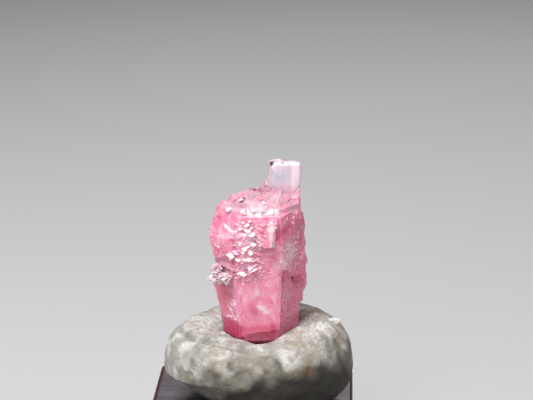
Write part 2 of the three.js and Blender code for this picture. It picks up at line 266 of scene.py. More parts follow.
# A square floor, an even world light, and round lamps, each at its distance from the target and facing it.
def makeStudio():
    floor = bpy.data.meshes.new("studioFloor")
    half = studio["floorHalf"]
    corners = [(-half, -half, 0), (half, -half, 0), (half, half, 0), (-half, half, 0)]
    floor.from_pydata(corners, [], [(0, 1, 2, 3)])
    plane = bpy.data.objects.new("studioFloor", floor)
    bpy.context.scene.collection.objects.link(plane)
    finish = bpy.data.materials.new("floorPaper")
    finish.use_nodes = True
    paper = finish.node_tree.nodes["Principled BSDF"]
    paper.inputs["Base Color"].default_value = (*studio["floor"], 1)
    paper.inputs["Roughness"].default_value = 0.8
    floor.materials.append(finish)
    world = bpy.data.worlds.new("studioWorld")
    world.use_nodes = True
    sky = world.node_tree.nodes["Background"].inputs
    sky["Color"].default_value = (*studio["world"], 1)
    sky["Strength"].default_value = studio["worldStrength"]
    bpy.context.scene.world = world
    bpy.context.scene.view_settings.view_transform = "Standard"
    target = Vector(studio["target"])
    for name, (turn, tilt, distance, width, power, colour) in studio["lamps"].items():
        lamp = bpy.data.lights.new(name, "AREA")
        lamp.shape = "DISK"
        lamp.size = width * mm
        lamp.energy = power
        lamp.color = colour
        stand = bpy.data.objects.new(name, lamp)
        stand.location = target + Vector(facing(float(turn), float(tilt)) * distance * mm)
        stand.rotation_euler = (target - stand.location).to_track_quat("-Z", "Y").to_euler()
        bpy.context.scene.collection.objects.link(stand)


makeCamera()
makeStudio()
print("camera, floor and lamps are in place")

# A face is [turn, tilt, distance from the form's centre]; a form is what lies inside all its faces.
crystal = {
    "columns": 280,
    "footRows": 30,
    "sideRows": 140,
    "headRows": 84,
    "samples": 3,  # rays per row and per column that each point is the mean of
    "backbone": (12.0, 20.0, 0.4),  # lower and upper height, and how far right it leans between them
    "axisLow": (0.0, 0.0, 12.0),
    "axisHigh": (0.25, -0.15, 17.6),
    "headMiddle": 18.2,  # height about which the head is round
    "frontDetail": 0.07,  # how much closer the columns stand in front than behind
    "cleavage": 44.6,  # degrees between the upright axis and a cleavage face's normal
    "roughness": 0.035,  # depth of the broken surface's fine relief
    "steps": [(-20, 0.16), (100, 0.21), (220, 0.27)],  # turn of each set of fine steps, and its pitch
    "capFrom": 19.5,  # height above which level ledges break the surface
    "ledgePitch": 0.2,
    "ledgeDepth": 0.055,
    "edgeAngle": 26,  # degrees past which an edge shows sharp
    "glintTurn": (-13, 3.4),  # spin and lean with which a rhomb's front upper face mirrors the key lamp
    "forms": {
        "footCore": ([0, 0, 12], [
            [4, 0, 2.0], [-50, -3, 1.98], [56, 0, 2.12], [100, 0, 2.43], [140, 0, 2.3], [180, 0, 2.12],
            [-140, 0, 2.3], [-95, 0, 2.14], [4, -50, 1.86], [64, -50, 2.05], [124, -50, 2.05],
            [-176, -50, 1.95], [-116, -50, 1.95], [-56, -50, 1.86], [0, -90, 2.0], [0, 90, 2],
        ]),
        "leftShell": ([0, 0, 14.5], [
            [4, 0, 1.99], [-50, -6, 2.12], [-94, -12, 2.7], [-90, 22, 2.5], [-140, -2, 2.4], [180, 0, 2.2],
            [90, 0, 0.5], [42, -73, 2.06], [0, 90, 2.4],
        ]),
        "centreShell": ([0.15, 0, 14.5], [
            [4, 1, 2.17], [-50, 0, 2.3], [52, 0, 2.29], [-86, -4, 1.22], [85, -2, 1.42], [180, 0, 1],
            [90, -83, 2.7], [0, 90, 3.2],
        ]),
        "rightShell": ([0, 0, 14.5], [
            [4, 0, 2.02], [56, -2, 2.24], [98, -3, 2.5], [140, 0, 2.42], [180, 0, 2.27], [-140, 0, 2.36],
            [-90, 0, 1.2], [70, -78, 2.95], [0, 90, 3],
        ]),
        "headMass": ([0, 0, 17.3], [
            [0, 3, 1.96], [-45, 5, 2.24], [-90, -13, 2.86], [-92, 4, 2.92], [-88, 16, 2.92], [-84, 28, 2.99],
            [-80, 35, 2.45], [-8, 80, 2.08], [48, 4, 2.4], [92, 10, 2.74], [96, 3, 2.68], [138, 6, 2.6],
            [180, 8, 2.35], [-138, 8, 2.55], [175, 50, 2.57], [0, -90, 2.4], [-50, -48, 2.75],
            [10, -52, 2.55], [180, -50, 2.7],
        ]),
        "leftLobe": ([-1.6, -0.6, 18.3], [
            [-38, 20, 0.76], [30, 14, 1.16], [-20, 82, 1.12], [-90, 18, 1.17], [-88, 34, 1.32],
            [-35, -70, 0.75], [150, 0, 1.2], [-150, 10, 1.3], [-100, -30, 1.25], [175, 50, 1.25],
        ]),
        "lobeBulge": ([-1.7, -0.7, 17.2], [
            [-44, -4, 0.92], [-95, 2, 1.27], [-92, -14, 1.21], [-92, -46, 1.34], [-46, 48, 1.0],
            [12, 4, 1.16], [-30, -44, 1.16], [35, 0, 1.25], [140, 0, 1.2], [-150, 0, 1.3],
        ]),
        "grainPad": ([-0.6, -0.9, 16.8], [
            [-6, -4, 1.18], [-44, -5, 1.25], [38, -3, 1.2], [-10, 55, 1.7], [0, -46, 1.45], [180, 0, 1],
            [-90, 0, 1.6], [-70, -30, 1.35], [90, 0, 1.4], [75, -25, 1.35],
        ]),
        "tablet": ([0.42, -1.6, 18.0], [
            [-8, 12, 0.78], [-48, -2, 0.8], [56, 0, 0.86], [92, -6, 0.6], [-78, -14, 0.62], [-46, -50, 0.92],
            [20, -72, 0.9], [-10, 62, 0.96], [180, 0, 1],
        ]),
        "rightCheek": ([2.1, 0, 17.2], [
            [94, 8, 0.64], [96, -2, 0.56], [52, 2, 0.4], [150, 4, 0.9], [12, 3, 1.35], [72, 60, 1.75],
            [66, -58, 1.5], [-90, 0, 1.4],
        ]),
        "rightPlate": ([2.3, 0.1, 14.8], [
            [95, -10, 0.54], [94, 6, 0.62], [52, -3, 0.4], [145, 0, 0.9], [86, -54, 1.76], [86, 58, 1.4],
            [12, -4, 1.6], [50, -68, 2.05], [-90, 0, 1.2],
        ]),
        "backPlate": ([-0.4, 1.2, 15.2], [
            [180, -4, 1.22], [-140, -6, 1.45], [140, -4, 1.35], [-95, -8, 1.5], [92, -6, 1.4],
            [180, 64, 2.5], [-170, -66, 2.4], [0, 0, 1],
        ]),
        "middleStep": ([0.4, 0.2, 19.6], [
            [-92, 4, 1.02], [-8, 77, 0.21], [-6, 12, 1.58], [-46, 14, 1.62], [30, 12, 1.85], [94, 8, 2.0],
            [176, 45, 0.9], [0, -90, 0.9],
        ]),
        "upperStep": ([0.9, 0.2, 20.0], [
            [-80, 30, 0.74], [51, 57, 0.31], [-12, 20, 0.75], [90, 4, 1.6], [178, 35, 0.55], [0, -90, 0.9],
        ]),
        "prongRoot": ([1.5, 0.5, 20.1], [
            [-72, 38, 0.8], [-10, 24, 0.3], [94, -2, 0.98], [0, 90, 0.8], [178, 22, 0.6], [0, -90, 0.9],
            [150, 40, 0.9],
        ]),
        "capLedge": ([0.15, -1.42, 19.28], [
            [-13, 42, 0.12], [-100, 0, 0.85], [80, 5, 0.8], [-10, 78, 0.34], [0, -35, 0.3], [180, 0, 0.6],
            [-50, 25, 0.62], [40, 30, 0.6],
        ]),
        "shoulderTooth": ([-2.1, -0.3, 19.4], [
            [-86, 30, 0.2], [70, 26, 0.16], [0, 20, 0.4], [180, 10, 0.4], [0, -90, 0.5], [-10, 84, 0.17],
        ]),
    },
    # small cleavage rhombs: count, seed, turns, heights, tilt, half widths, sink (in half widths), how
    # unequal their sides are, spin, how much the spin differs, lean, frost, ash
    "rhombs": {
        "sugar": (60, 11, (-46, 4), (15.3, 18.8), 0, (0.06, 0.15), 0.6, 0.8, 18, 70, 24, 0.12, 0),
        "fineSugar": (190, 11003, (-46, 4), (15.2, 18.85), 0, (0.03, 0.11), 0.75, 0.7, 18, 110, 40, 0.12, 0),
        "sugarBelow": (60, 11503, (-50, -2), (14.9, 16.0), 0, (0.03, 0.07), 0.8, 0.7, 18, 110, 40, 0.15, 0),
        "bulgeSpecks": (16, 12007, (-78, -50), (16.4, 17.5), 0, (0.02, 0.05), 0.7, 0.6, 0, 20, 9, 0.3, 0),
        "sideGrains": (90, 12503, (-70, -44), (12.35, 14.0), 0, (0.03, 0.1), 0.8, 0.8, 0, 60, 14, 0.1, 0.1),
        "flank": (90, 13007, (-92, -50), (14.4, 16.2), 0, (0.03, 0.11), 0.9, 1.0, 18, 56, 14, 0.1, 0.5),
        "cap": (190, 13513, (-80, 84), (18.6, 19.3), 45, (0.03, 0.11), 0.9, 1.1, 18, 90, 30, 0.15, 0.25),
        "tabletEdge": (16, 14503, (3, 22), (18.3, 18.9), 0, (0.03, 0.08), 0.8, 0.8, 18, 56, 12, 0.5, 0.3),
        "bloom": (140, 15013, (28, 62), (15.5, 17.6), 0, (0.03, 0.1), 0.9, 1.0, 30, 80, 20, 0.1, 0.35),
        "right": (120, 15511, (34, 104), (12.6, 18.6), 0, (0.04, 0.14), 1.1, 1.0, 18, 40, 8, 0.05, 0.5),
        "back": (160, 16007, (104, 262), (12.3, 18.9), 0, (0.06, 0.2), 1.1, 1.2, 18, 40, 8, 0.05, 0.35),
    },
    # low five-sided flakes: count, seed, turns, heights, tilt, how much further up they face, how far they
    # rise, how far they reach, how wide for their height, ash
    "flakes": {
        "rightBreak": (26, 517, (36, 92), (13.2, 18.4), 0, 0, (0.0, 0.04), (0.16, 0.34), 0.7, 0.3),
        "backBreak": (34, 733, (98, 244), (12.4, 18.3), 0, 6, (0.03, 0.18), (0.25, 0.6), 0.8, 0.08),
        "rearCapBreak": (8, 1127, (135, 250), (17.9, 18.5), 40, 0, (0.02, 0.1), (0.2, 0.4), 1, 0.4),
        "fineRight": (180, 4007, (33, 100), (12.6, 19.0), 0, 0, (0.0, 0.045), (0.07, 0.2), 0.8, 0.2),
        "fineBack": (260, 4507, (95, 265), (12.2, 18.8), 0, 8, (0.03, 0.12), (0.08, 0.26), 0.8, 0.14),
        "capLedges": (240, 5003, (-78, 84), (18.0, 19.0), 50, 16, (-0.02, 0.04), (0.04, 0.11), 2.6, 0.2),
        "capTop": (200, 5209, (-120, 84), (18.4, 18.9), 68, 10, (-0.02, 0.04), (0.04, 0.11), 2.2, 0.2),
        "fineRearCap": (70, 5507, (125, 275), (17.8, 18.7), 42, 10, (0.02, 0.08), (0.08, 0.22), 1.4, 0.5),
    },
    # broken shelves on the cap: x, y, height, half width, depth, thickness, turn
    "shelves": [
        (-0.52, 0.15, 19.8, 0.4, 0.3, 0.1, -20), (0.66, -0.2, 20.16, 0.36, 0.25, 0.07, 5),
        (1.1, -0.38, 20.0, 0.28, 0.25, 0.07, 10), (1.6, -0.4, 19.8, 0.28, 0.3, 0.07, 25),
        (-0.38, -0.15, 19.8, 0.16, 0.2, 0.06, -10), (-1.2, 0.2, 19.2, 0.33, 0.3, 0.08, -15),
        (0.2, -0.5, 19.86, 0.4, 0.3, 0.06, -8), (-0.5, -0.75, 19.55, 0.35, 0.3, 0.07, -25),
        (0.9, -0.9, 19.62, 0.4, 0.3, 0.07, 15), (1.4, -1.0, 19.34, 0.35, 0.3, 0.07, 20),
        (0.35, -1.0, 19.55, 0.3, 0.25, 0.06, -5), (-1.25, -0.5, 19.3, 0.3, 0.3, 0.07, -30),
        (1.8, -0.75, 19.3, 0.25, 0.3, 0.07, 35), (-1.8, -0.55, 19.2, 0.2, 0.25, 0.06, -40),
    ],
    # smooth faces of trunk, lobe and tablet: turns from and to, how soft, heights from and to, how soft
    "smoothFaces": [
        (-62, 42, 2, 9, 15.2, 0.15), (-100, -42, 3, 16.2, 19.1, 0.12), (-10, 24, 2, 17.1, 18.9, 0.1),
    ],
    "leastBroken": 0.12,
    # where no flakes grow: x, y, z, a radius along each axis, strength
    "smooth": [(0.1, -1.5, 19.33, 0.85, 0.5, 0.25, 1.5)],
    # grains whose upper face catches the lamp: x, y, z, then its half width
    "glints": [
        (-0.51, -1.88, 18.83, 0.09), (-0.7, -1.9, 18.57, 0.12), (-0.66, -1.93, 18.24, 0.15),
        (-0.45, -1.95, 18.4, 0.1), (-0.33, -2.13, 18.06, 0.12), (-1.11, -2.09, 17.51, 0.15),
        (-0.33, -2.33, 17.45, 0.15), (-0.84, -2.2, 17.16, 0.13), (-0.47, -2.18, 16.91, 0.14),
        (-1.68, -1.92, 16.66, 0.17), (-1.26, -2.08, 16.47, 0.13), (-0.56, -2.34, 16.53, 0.17),
        (-0.27, -2.18, 16.18, 0.1), (-0.39, -2.19, 15.8, 0.17), (-0.5, -2.19, 15.98, 0.13),
        (-0.93, -2.23, 15.63, 0.16), (-2.43, -1.26, 17.05, 0.06), (-2.55, -1.1, 17.1, 0.05),
        (-0.03, -2.34, 17.69, 0.07), (2.39, -1.28, 18.4, 0.08), (-1.78, -1.02, 19.3, 0.13),
        (-1.95, -0.9, 19.35, 0.08), (-0.95, -1.4, 19.3, 0.14), (-1.1, -0.4, 19.75, 0.08),
        (0.35, -1.2, 19.75, 0.1),
    ],
    # how much of each kind of patch is even, and how much follows the noise
    "mottled": {"frostAndHighlight": (0.55, 0.9), "gem": (0.75, 0.5), "toneAndShade": (0.7, 0.6), "ash": (0.2, 1.4)},
    # soft patches: x, y, z, then a radius along each axis, then strength
    "frostAndHighlight": [
        (-2.1, -1.3, 15.3, 0.6, 0.6, 0.6, 0.3), (-1.75, -1.3, 13.3, 0.4, 0.5, 0.6, 0.3),
        (-1.15, -1.7, 12.75, 0.14, 0.3, 0.25, 0.8), (-1.45, -1.5, 13.5, 0.14, 0.3, 0.25, 0.5),
        # painted highlights on this line and the next: the oval glare on the trunk's front face and a soft
        # bright spot above it
        (0.02, -2.19, 13.55, 0.16, 0.4, 0.13, 0.75), (0.22, -2.19, 13.38, 0.2, 0.4, 0.15, 0.9),
        (0.44, -2.19, 13.16, 0.15, 0.4, 0.13, 0.75), (-0.1, -2.21, 14.4, 0.3, 0.4, 0.3, 0.45),
        (1.95, -1.6, 16.9, 0.5, 0.8, 0.55, 0.42), (1.5, -1.8, 16.2, 0.5, 0.8, 0.55, 0.38),
        # painted glare on the cap's ledge on this line, and a painted highlight on a glinting grain at the
        # start of the next
        (0.1, -1.5, 19.33, 0.8, 0.4, 0.22, 1.9), (0.85, -1.5, 19.3, 0.35, 0.4, 0.16, 0.8),
        (-1.78, -1.02, 19.3, 0.3, 0.3, 0.13, 0.5), (0.8, -2.3, 18.55, 0.28, 0.3, 0.18, 0.8),
        (0.82, -2.3, 18.0, 0.26, 0.3, 0.34, 1.0), (0.86, -2.3, 17.5, 0.16, 0.3, 0.3, 0.7),
        (0.5, -2.3, 17.28, 0.5, 0.3, 0.07, 0.7),
        (0.1, -2.35, 17.6, 0.12, 0.3, 0.25, 0.6), (-1.15, -1.6, 18.5, 0.14, 0.4, 0.5, 0.7),
        (-1.5, -1.7, 17.95, 0.7, 0.5, 0.16, 0.45), (0.9, -0.9, 19.9, 0.6, 0.5, 0.2, 0.4),
        (-0.6, -2.1, 17.2, 0.6, 0.5, 1.5, 0.45), (0.2, -1.2, 19.6, 1.0, 0.4, 0.16, 0.5),
        (-0.6, -0.6, 19.75, 0.5, 0.3, 0.14, 0.5), (1.0, -0.5, 20.1, 0.6, 0.3, 0.14, 0.4),
    ],
    "gem": [
        (-0.4, -2.2, 13.35, 0.32, 0.5, 0.5, 0.35), (1.42, -1.9, 18.15, 0.34, 0.5, 0.5, 0.65),
        (1.9, -1.6, 18.3, 0.6, 0.6, 0.28, 0.5), (1.49, -1.86, 15.3, 0.16, 0.5, 0.42, 0.9),
        (1.3, -1.9, 14.6, 0.16, 0.5, 0.6, 0.45), (-1.1, -1.9, 14.0, 0.07, 0.4, 0.3, 0.8),
        (-2.2, -1.4, 16.8, 0.7, 0.6, 0.4, 0.3), (-0.85, -2.0, 17.7, 0.16, 0.4, 0.25, 0.5),
        (-0.8, -2.1, 15.95, 0.2, 0.4, 0.25, 0.7), (0.45, -1.7, 19.1, 0.2, 0.3, 0.12, 0.8),
        (0.2, -2.1, 18.85, 0.9, 0.4, 0.14, 0.5), (-0.1, -2.2, 13.2, 0.28, 0.5, 0.35, 0.4),
        (0.55, -2.4, 18.1, 0.08, 0.3, 0.4, 0.4),
    ],
    "toneAndShade": [
        # deeper tone: painted shade on the cap and the right side, and the stone's own deeper tone on the
        # left trunk, the foot and the back
        (2.6, -0.6, 17.8, 1.1, 1.3, 1.0, 0.8), (2.6, -0.6, 15.2, 0.9, 1.6, 1.6, 0.85),
        (1.9, -1.2, 13.2, 1.0, 0.8, 1.6, 0.25), (-2.2, -0.7, 13.8, 0.8, 1.1, 1.2, 0.85),
        (1.9, -0.7, 19.4, 1.1, 1.1, 0.7, 0.7), (-0.6, 0.1, 19.9, 1.4, 1.0, 0.5, 0.4),
        (-2.2, -0.5, 19.3, 0.4, 0.5, 0.35, 0.8), (0.2, -2.0, 12.0, 1.0, 0.6, 0.4, 0.9),
        (0.0, 2.4, 15.5, 3.5, 1.2, 4.5, 0.6),
    ],
    "ash": [
        # grey ash: on the cap partly painted shade against the lamps from above, elsewhere the pale bloom and
        # the greyer broken right side and back
        (-0.1, 0.0, 19.95, 2.0, 1.9, 0.6, 1.35), (1.8, -0.9, 19.4, 0.9, 1.0, 0.6, 0.8),
        (-1.6, -0.6, 19.4, 0.8, 0.8, 0.35, 0.95), (1.6, 0.6, 20.3, 1.4, 0.8, 0.6, 0.8),
        (1.95, -1.6, 16.9, 0.6, 0.8, 0.6, 0.2), (1.5, -1.8, 16.2, 0.6, 0.8, 0.6, 0.15),
        (2.5, -0.9, 17.4, 0.8, 1.2, 1.2, 0.42), (2.5, -0.9, 15.6, 0.7, 1.2, 1.0, 0.25),
        (-2.2, -0.9, 15.6, 0.5, 0.8, 0.6, 0.4), (0.0, 2.2, 16.0, 3.0, 1.0, 4.0, 0.35),
    ],
    "footEdge": 12.27,  # height at which the left flank turns clear and dark
    "pane": (-1.0, 0.75, 11.62),  # left, right and lower edges of the paler pane in front of the clear foot
}


# A form as the normals of its planes and their offsets: normal times centre, plus the distance from it.
def makeForm(centre, faces):
    turn, tilt, distance = np.array(faces, float).T
    normals = facing(turn, tilt)
    return normals, normals @ np.array(centre, float) + distance


mainForms = [makeForm(centre, faces) for centre, faces in crystal["forms"].values()]


# How far each ray from the axis goes until it leaves the last of the main forms that it passes through: a ray
# is in a form from the last plane that it enters to the first that it leaves.
def leaveForms(start, direction):
    reach = np.zeros(len(start))
    for normals, offsets in mainForms:
        speed = direction @ normals.T
        room = offsets - start @ normals.T
        speed = np.where(np.abs(speed) < 1e-9, 1e-9, speed)
        at = room / speed
        leave = np.where(speed > 0, at, np.inf).min(axis=1)
        enter = np.where(speed < 0, at, -np.inf).max(axis=1)
        better = (enter < leave) & (leave > reach)
        reach[better] = leave[better]
    return reach


# How far right the leaning backbone is at a height: a straight line through its two ends.
def backbone(height):
    low, high, right = crystal["backbone"]
    return right * (height - low) / (high - low)


# The turn and tilt of points as seen from the middle of the head or, lower down, from the backbone.
def turnAndTilt(points):
    x, y, z = points.T
    across = x - backbone(z)
    rise = np.maximum(z - crystal["headMiddle"], 0)
    return np.degrees(np.arctan2(across, -y)), np.degrees(np.arctan2(rise, np.hypot(across, y)))


# Where rays from the backbone come out of the main forms, for turns, a tilt and heights.
def outside(turn, tilt, height):
    start = np.stack([backbone(height), 0 * height, height], axis=-1)
    direction = facing(turn, tilt + 0 * turn)
    return start + direction * leaveForms(start, direction)[:, None]


# Places of a patch's items: turns by the golden ratio, heights in even steps with a little chance.
def scatter(count, seed, turns, heights, tilt):
    i = np.arange(count)
    turn = blend(*turns, (i * 0.618034 + chance(seed)) % 1)
    height = blend(*heights, (i + chance(seed + i)) / count)
    return turn, seed + 13 * i, outside(turn, tilt, height)


# Turns stacks of three vectors about an axis each, by an angle each (Rodrigues' formula).
def turnAbout(vectors, axis, degrees):
    axis = axis[..., None, :]
    a = np.radians(degrees)[..., None, None]
    along = (vectors * axis).sum(axis=-1, keepdims=True) * axis
    return along + np.cos(a) * (vectors - along) + np.sin(a) * np.cross(axis, vectors)


# The three normals of each cleavage rhomb, 120 degrees apart about an axis that leans a little.
def rhombNormals(spin, lean, leanTurn):
    around = np.asarray(spin, float)[..., None] + np.array([0.0, 120.0, 240.0])
    upright = facing(around, 90 - crystal["cleavage"])
    return turnAbout(upright, facing(np.asarray(leanTurn, float) + 90.0, 0.0), np.asarray(lean, float))


# The eight corners of each rhomb: its centre plus or minus three edge vectors, which are the columns of
# the inverse of the normals, times the half widths.
def rhombCorners(centres, halves, normals):
    edges = np.linalg.inv(normals) * halves[:, None, :]
    signs = np.array([[i & 1, i >> 1 & 1, i >> 2 & 1] for i in range(8)]) * 2 - 1
    return centres[:, None, :] + np.einsum("ck,nak->nca", signs, edges)


# The ten corners of each five-sided flake: a top face looking out, five sides that slope off it, and a flat
# back. Each corner is where the top or the back meets two neighbouring sides.
def flakeCorners(spots, out, rise, reach, across, k):
    up = -np.cross(across, out)
    fifth = np.arange(5)
    roll = np.radians(72 * (fifth + chance(k + 3)[:, None]) + 16 * chance(k[:, None] + 4 + fifth))[..., None]
    sides = 0.85 * (across[:, None] * np.cos(roll) + up[:, None] * np.sin(roll)) + 0.5 * out[:, None]
    sides /= np.linalg.norm(sides, axis=-1, keepdims=True)
    reaches = reach[:, None] * (0.85 + 0.3 * chance(k[:, None] + 9 + fifth))
    sideOffsets = np.einsum("nij,nj->ni", sides, spots) + reaches
    corners = []
    sunk = 0.3 + 0 * rise  # how deep the back lies
    for lid, offset in ((out, rise), (-out, sunk)):
        lids = np.repeat(lid[:, None], 5, axis=1)
        planes = np.stack([lids, sides, np.roll(sides, -1, axis=1)], axis=2)
        lidOffsets = np.repeat(((lid * spots).sum(axis=1) + offset)[:, None], 5, axis=1)
        offsets = np.stack([lidOffsets, sideOffsets, np.roll(sideOffsets, -1, axis=1)], axis=2)
        corners.append(np.linalg.solve(planes, offsets[..., None])[..., 0])
    return np.concatenate(corners, axis=1)


# The corners of a form: every point where three faces meet inside all the others. Their hull is the solid.
def formSolid(normals, offsets):
    triples = np.array(list(combinations(range(len(offsets)), 3)))
    planes = normals[triples]
    real = np.abs(np.linalg.det(planes)) > 1e-6
    corners = np.linalg.solve(planes[real], offsets[triples][real][..., None])[..., 0]
    corners = corners[(corners @ normals.T <= offsets + 1e-7).all(axis=1)]
    corners = np.unique(corners.round(6), axis=0)
    hull = bmesh.new()
    for corner in corners:
        hull.verts.new(corner)
    bmesh.ops.convex_hull(hull, input=hull.verts)
    hull.verts.ensure_lookup_table()
    hull.verts.index_update()
    bmesh.ops.recalc_face_normals(hull, faces=hull.faces)
    points = np.array([v.co for v in hull.verts])
    faces = np.array([[v.index for v in face.verts] for face in hull.faces])
    hull.free()
    return points, faces


# Shelves of the broken cap: a slab that tips forward, its front edge steep and a little undercut.
def shelfForms():
    forms = []
    for i, (x, y, z, wide, deep, thick, turn) in enumerate(crystal["shelves"]):
        k = 9001 + 11 * i
        skew = 24 * (chance(k) - 0.5)
        root = 0.45  # how far the slab goes back and down into the cap
        left, right = 0.9 * wide + 0.1 * chance(k + 2), 0.9 * wide + 0.1 * chance(k + 3)
        faces = [
            [turn + skew, 66 + 10 * (chance(k + 1) - 0.5), thick], [turn - skew, -22, deep],
            [turn - 82, -12, wide], [turn + 82, -12, wide], [turn - 45, -16, left], [turn + 45, -16, right],
            [turn + 180, 0, root], [0, -90, root],
        ]
        forms.append(makeForm((x, y, z), faces))
    return forms


# All rhombs: their centres, corners, and a chance frost, ash and deep colour for each. Half widths differ by
# a power of two per side, and none stands where a glint does. The listed glints come last, each with two
# smaller grains close beside it, all given frost as a painted highlight.
def rhombSolids():
    centres, halves, normals, tones = [], [], [], []
    glints = np.array(crystal["glints"])
    height = glints[:, 2]
    turn = turnAndTilt(glints[:, :3])[0]
    wallTop = 19.2  # glints above it keep their own place, those below stand on the wall
    onWall = outside(turn, 0.0, np.minimum(height, wallTop - 0.2))
    glintSpots = np.where((height < wallTop)[:, None], onWall, glints[:, :3])
    for patch in crystal["rhombs"].values():
        count, seed, turns, heights, tilt, size, sink, uneven, spin, play, lean, frostAndHighlight, ash = patch
        turnAt, k, spots = scatter(count, seed, turns, heights, tilt)
        half = blend(*size, chance(k + 1) ** 1.6)
        away = np.linalg.norm(spots[:, None] - glintSpots, axis=2) - 0.8 * glints[:, 3]
        free = (away > half[:, None]).all(axis=1)
        turnAt, k, spots, half = turnAt[free], k[free], spots[free], half[free]
        centres.append(spots - facing(turnAt, tilt + 0 * turnAt) * (half * sink)[:, None])
        stretch = 2.0 ** (uneven * (threeChances(k, 2, 3, 5) - 0.5))
        halves.append(half[:, None] * stretch)
        spins = spin + play * (chance(k + 7) - 0.5)
        normals.append(rhombNormals(spins, lean * (chance(k + 6) - 0.5), spins))
        gem = 0.5 * chance(k + 4) ** 2
        tone = [frostAndHighlight * (0.3 + 1.4 * chance(k + 8)), ash * (0.2 + 1.3 * chance(k + 9)), gem]
        tones.append(np.stack(tone, axis=-1))
    own = len(glints)
    part = np.repeat(np.arange(3), own)
    glints, turn, glintSpots = (np.concatenate([a, a, a]) for a in (glints, turn, glintSpots))
    k = 8101 + 17 * np.arange(3 * own)
    aside = facing(turn + 90, 0 * turn) * (2 * chance(k + 11) - 1)[:, None]
    aside[:, 2] = 1.6 * (chance(k + 13) - 0.5)
    glintSpots = glintSpots + (part > 0)[:, None] * aside * 1.1 * glints[:, 3:]
    half = glints[:, 3:] * np.where(part > 0, 0.65, 1.0)[:, None]
    centres.append(glintSpots - facing(turn, 0 * turn) * 0.3 * half)
    halves.append(half * (0.6 + 0.7 * threeChances(k, 2, 3, 5)))
    spinOf, leanOf = crystal["glintTurn"]
    spins = spinOf + (6 + 8 * (part > 0)) * (chance(k + 1) - 0.5)
    normals.append(rhombNormals(spins, leanOf + (3 + 5 * (part > 0)) * (chance(k) - 0.5), spins))
    # frost on the glints and their grains is a painted highlight
    tones.append(np.tile([0.3, 0.0, 0.0], (len(glints), 1)))
    centres, halves, normals, tones = (np.concatenate(part) for part in (centres, halves, normals, tones))
    return centres, rhombCorners(centres, halves, normals), tones


# All flakes, but for those in a smooth place: their centres, corners and tones. Each looks out, or further up
# by its patch's lift, and is stretched along the level line that crosses it.
def flakeSolids():
    centres, points, tones = [], [], []
    for count, seed, turns, heights, tilt, lift, rise, size, stretch, ash in crystal["flakes"].values():
        turn, k, spots = scatter(count, seed, turns, heights, tilt)
        turnedBy = (24 + 1.5 * lift) * (chance(k) - 0.5)
        out = facing(turn + turnedBy, tilt + lift + (14 + lift) * (chance(k + 1) - 0.5))
        across = facing(turn + turnedBy + 90, 0 * turn)
        up, reach = blend(*rise, chance(k + 2)), blend(*size, chance(k + 10))
        corners = flakeCorners(spots, out, up, reach, across, k)
        along = ((corners - spots[:, None]) * across[:, None]).sum(axis=-1, keepdims=True)
        frostAndHighlight, gem = 0.1 * chance(k + 8), 0.5 * chance(k + 4) ** 3
        tone = np.stack([frostAndHighlight, ash * (0.1 + 1.5 * chance(k + 9)), gem], axis=-1)
        clear = softSpots(spots, crystal["smooth"]) < 0.5
        centres.append(spots[clear])
        points.append((corners + (stretch - 1) * along * across[:, None])[clear])
        tones.append(tone[clear])
    return tuple(np.concatenate(part) for part in (centres, points, tones))


# Sorts solids of one kind into clear groups and gives each group's points, faces and masks. Corners that are
# sunk in the crystal get a deeper colour, painted shade which shows in the gaps between grains.
def groupsOf(centres, corners, tones, facesOf):
    group = clearGroups(centres, corners)
    groups = []
    outward = facing(*turnAndTilt(centres))
    sunk = ((corners - centres[:, None]) * outward[:, None]).sum(axis=2) < 0
    for g in range(group.max() + 1):
        inside = group == g
        points = corners[inside].reshape(-1, 3)
        masks = crystalMasks(points, np.ones(len(points)))
        # painted shade: a deeper colour on sunk corners
        masks["gem"] = masks["gem"] + 0.45 * sunk[inside].ravel()
        tone = np.repeat(tones[inside], corners.shape[1], axis=0)
        for name, extra in zip(("frostAndHighlight", "ash", "gem"), tone.T):
            masks[name] = np.clip(masks[name] + extra, 0, 1)
        groups.append((standOnBlock(points), facesOf(inside.sum()), masks))
    return groups


# Where the surface is broken (1) and where it is a smooth crystal face (0).
def brokenShare(points):
    turn, height = turnAndTilt(points)[0], points[:, 2]
    share = np.ones(len(points))
    for left, right, turnSoft, low, high, soft in crystal["smoothFaces"]:
        across = fade(turn, left, turnSoft) * fade(turn, right, -turnSoft)
        share -= across * fade(height, low, soft) * fade(height, high, -soft)
    return np.clip(share, crystal["leastBroken"], 1)


# Fine relief of a broken carbonate: the highest of three sets of tilted steps, made uneven by noise.
def cleavageSteps(points):
    best = np.zeros(len(points))
    for i, (spin, pitch) in enumerate(crystal["steps"]):
        normal = facing(float(spin), 90 - crystal["cleavage"])
        phase = points @ normal / pitch + 1.6 * softNoise(points, 0.45, 3.0 + i)
        best = np.maximum(best, (phase - np.floor(phase)) * (0.5 + softNoise(points, 0.3, 9.0 + i)))
    return best
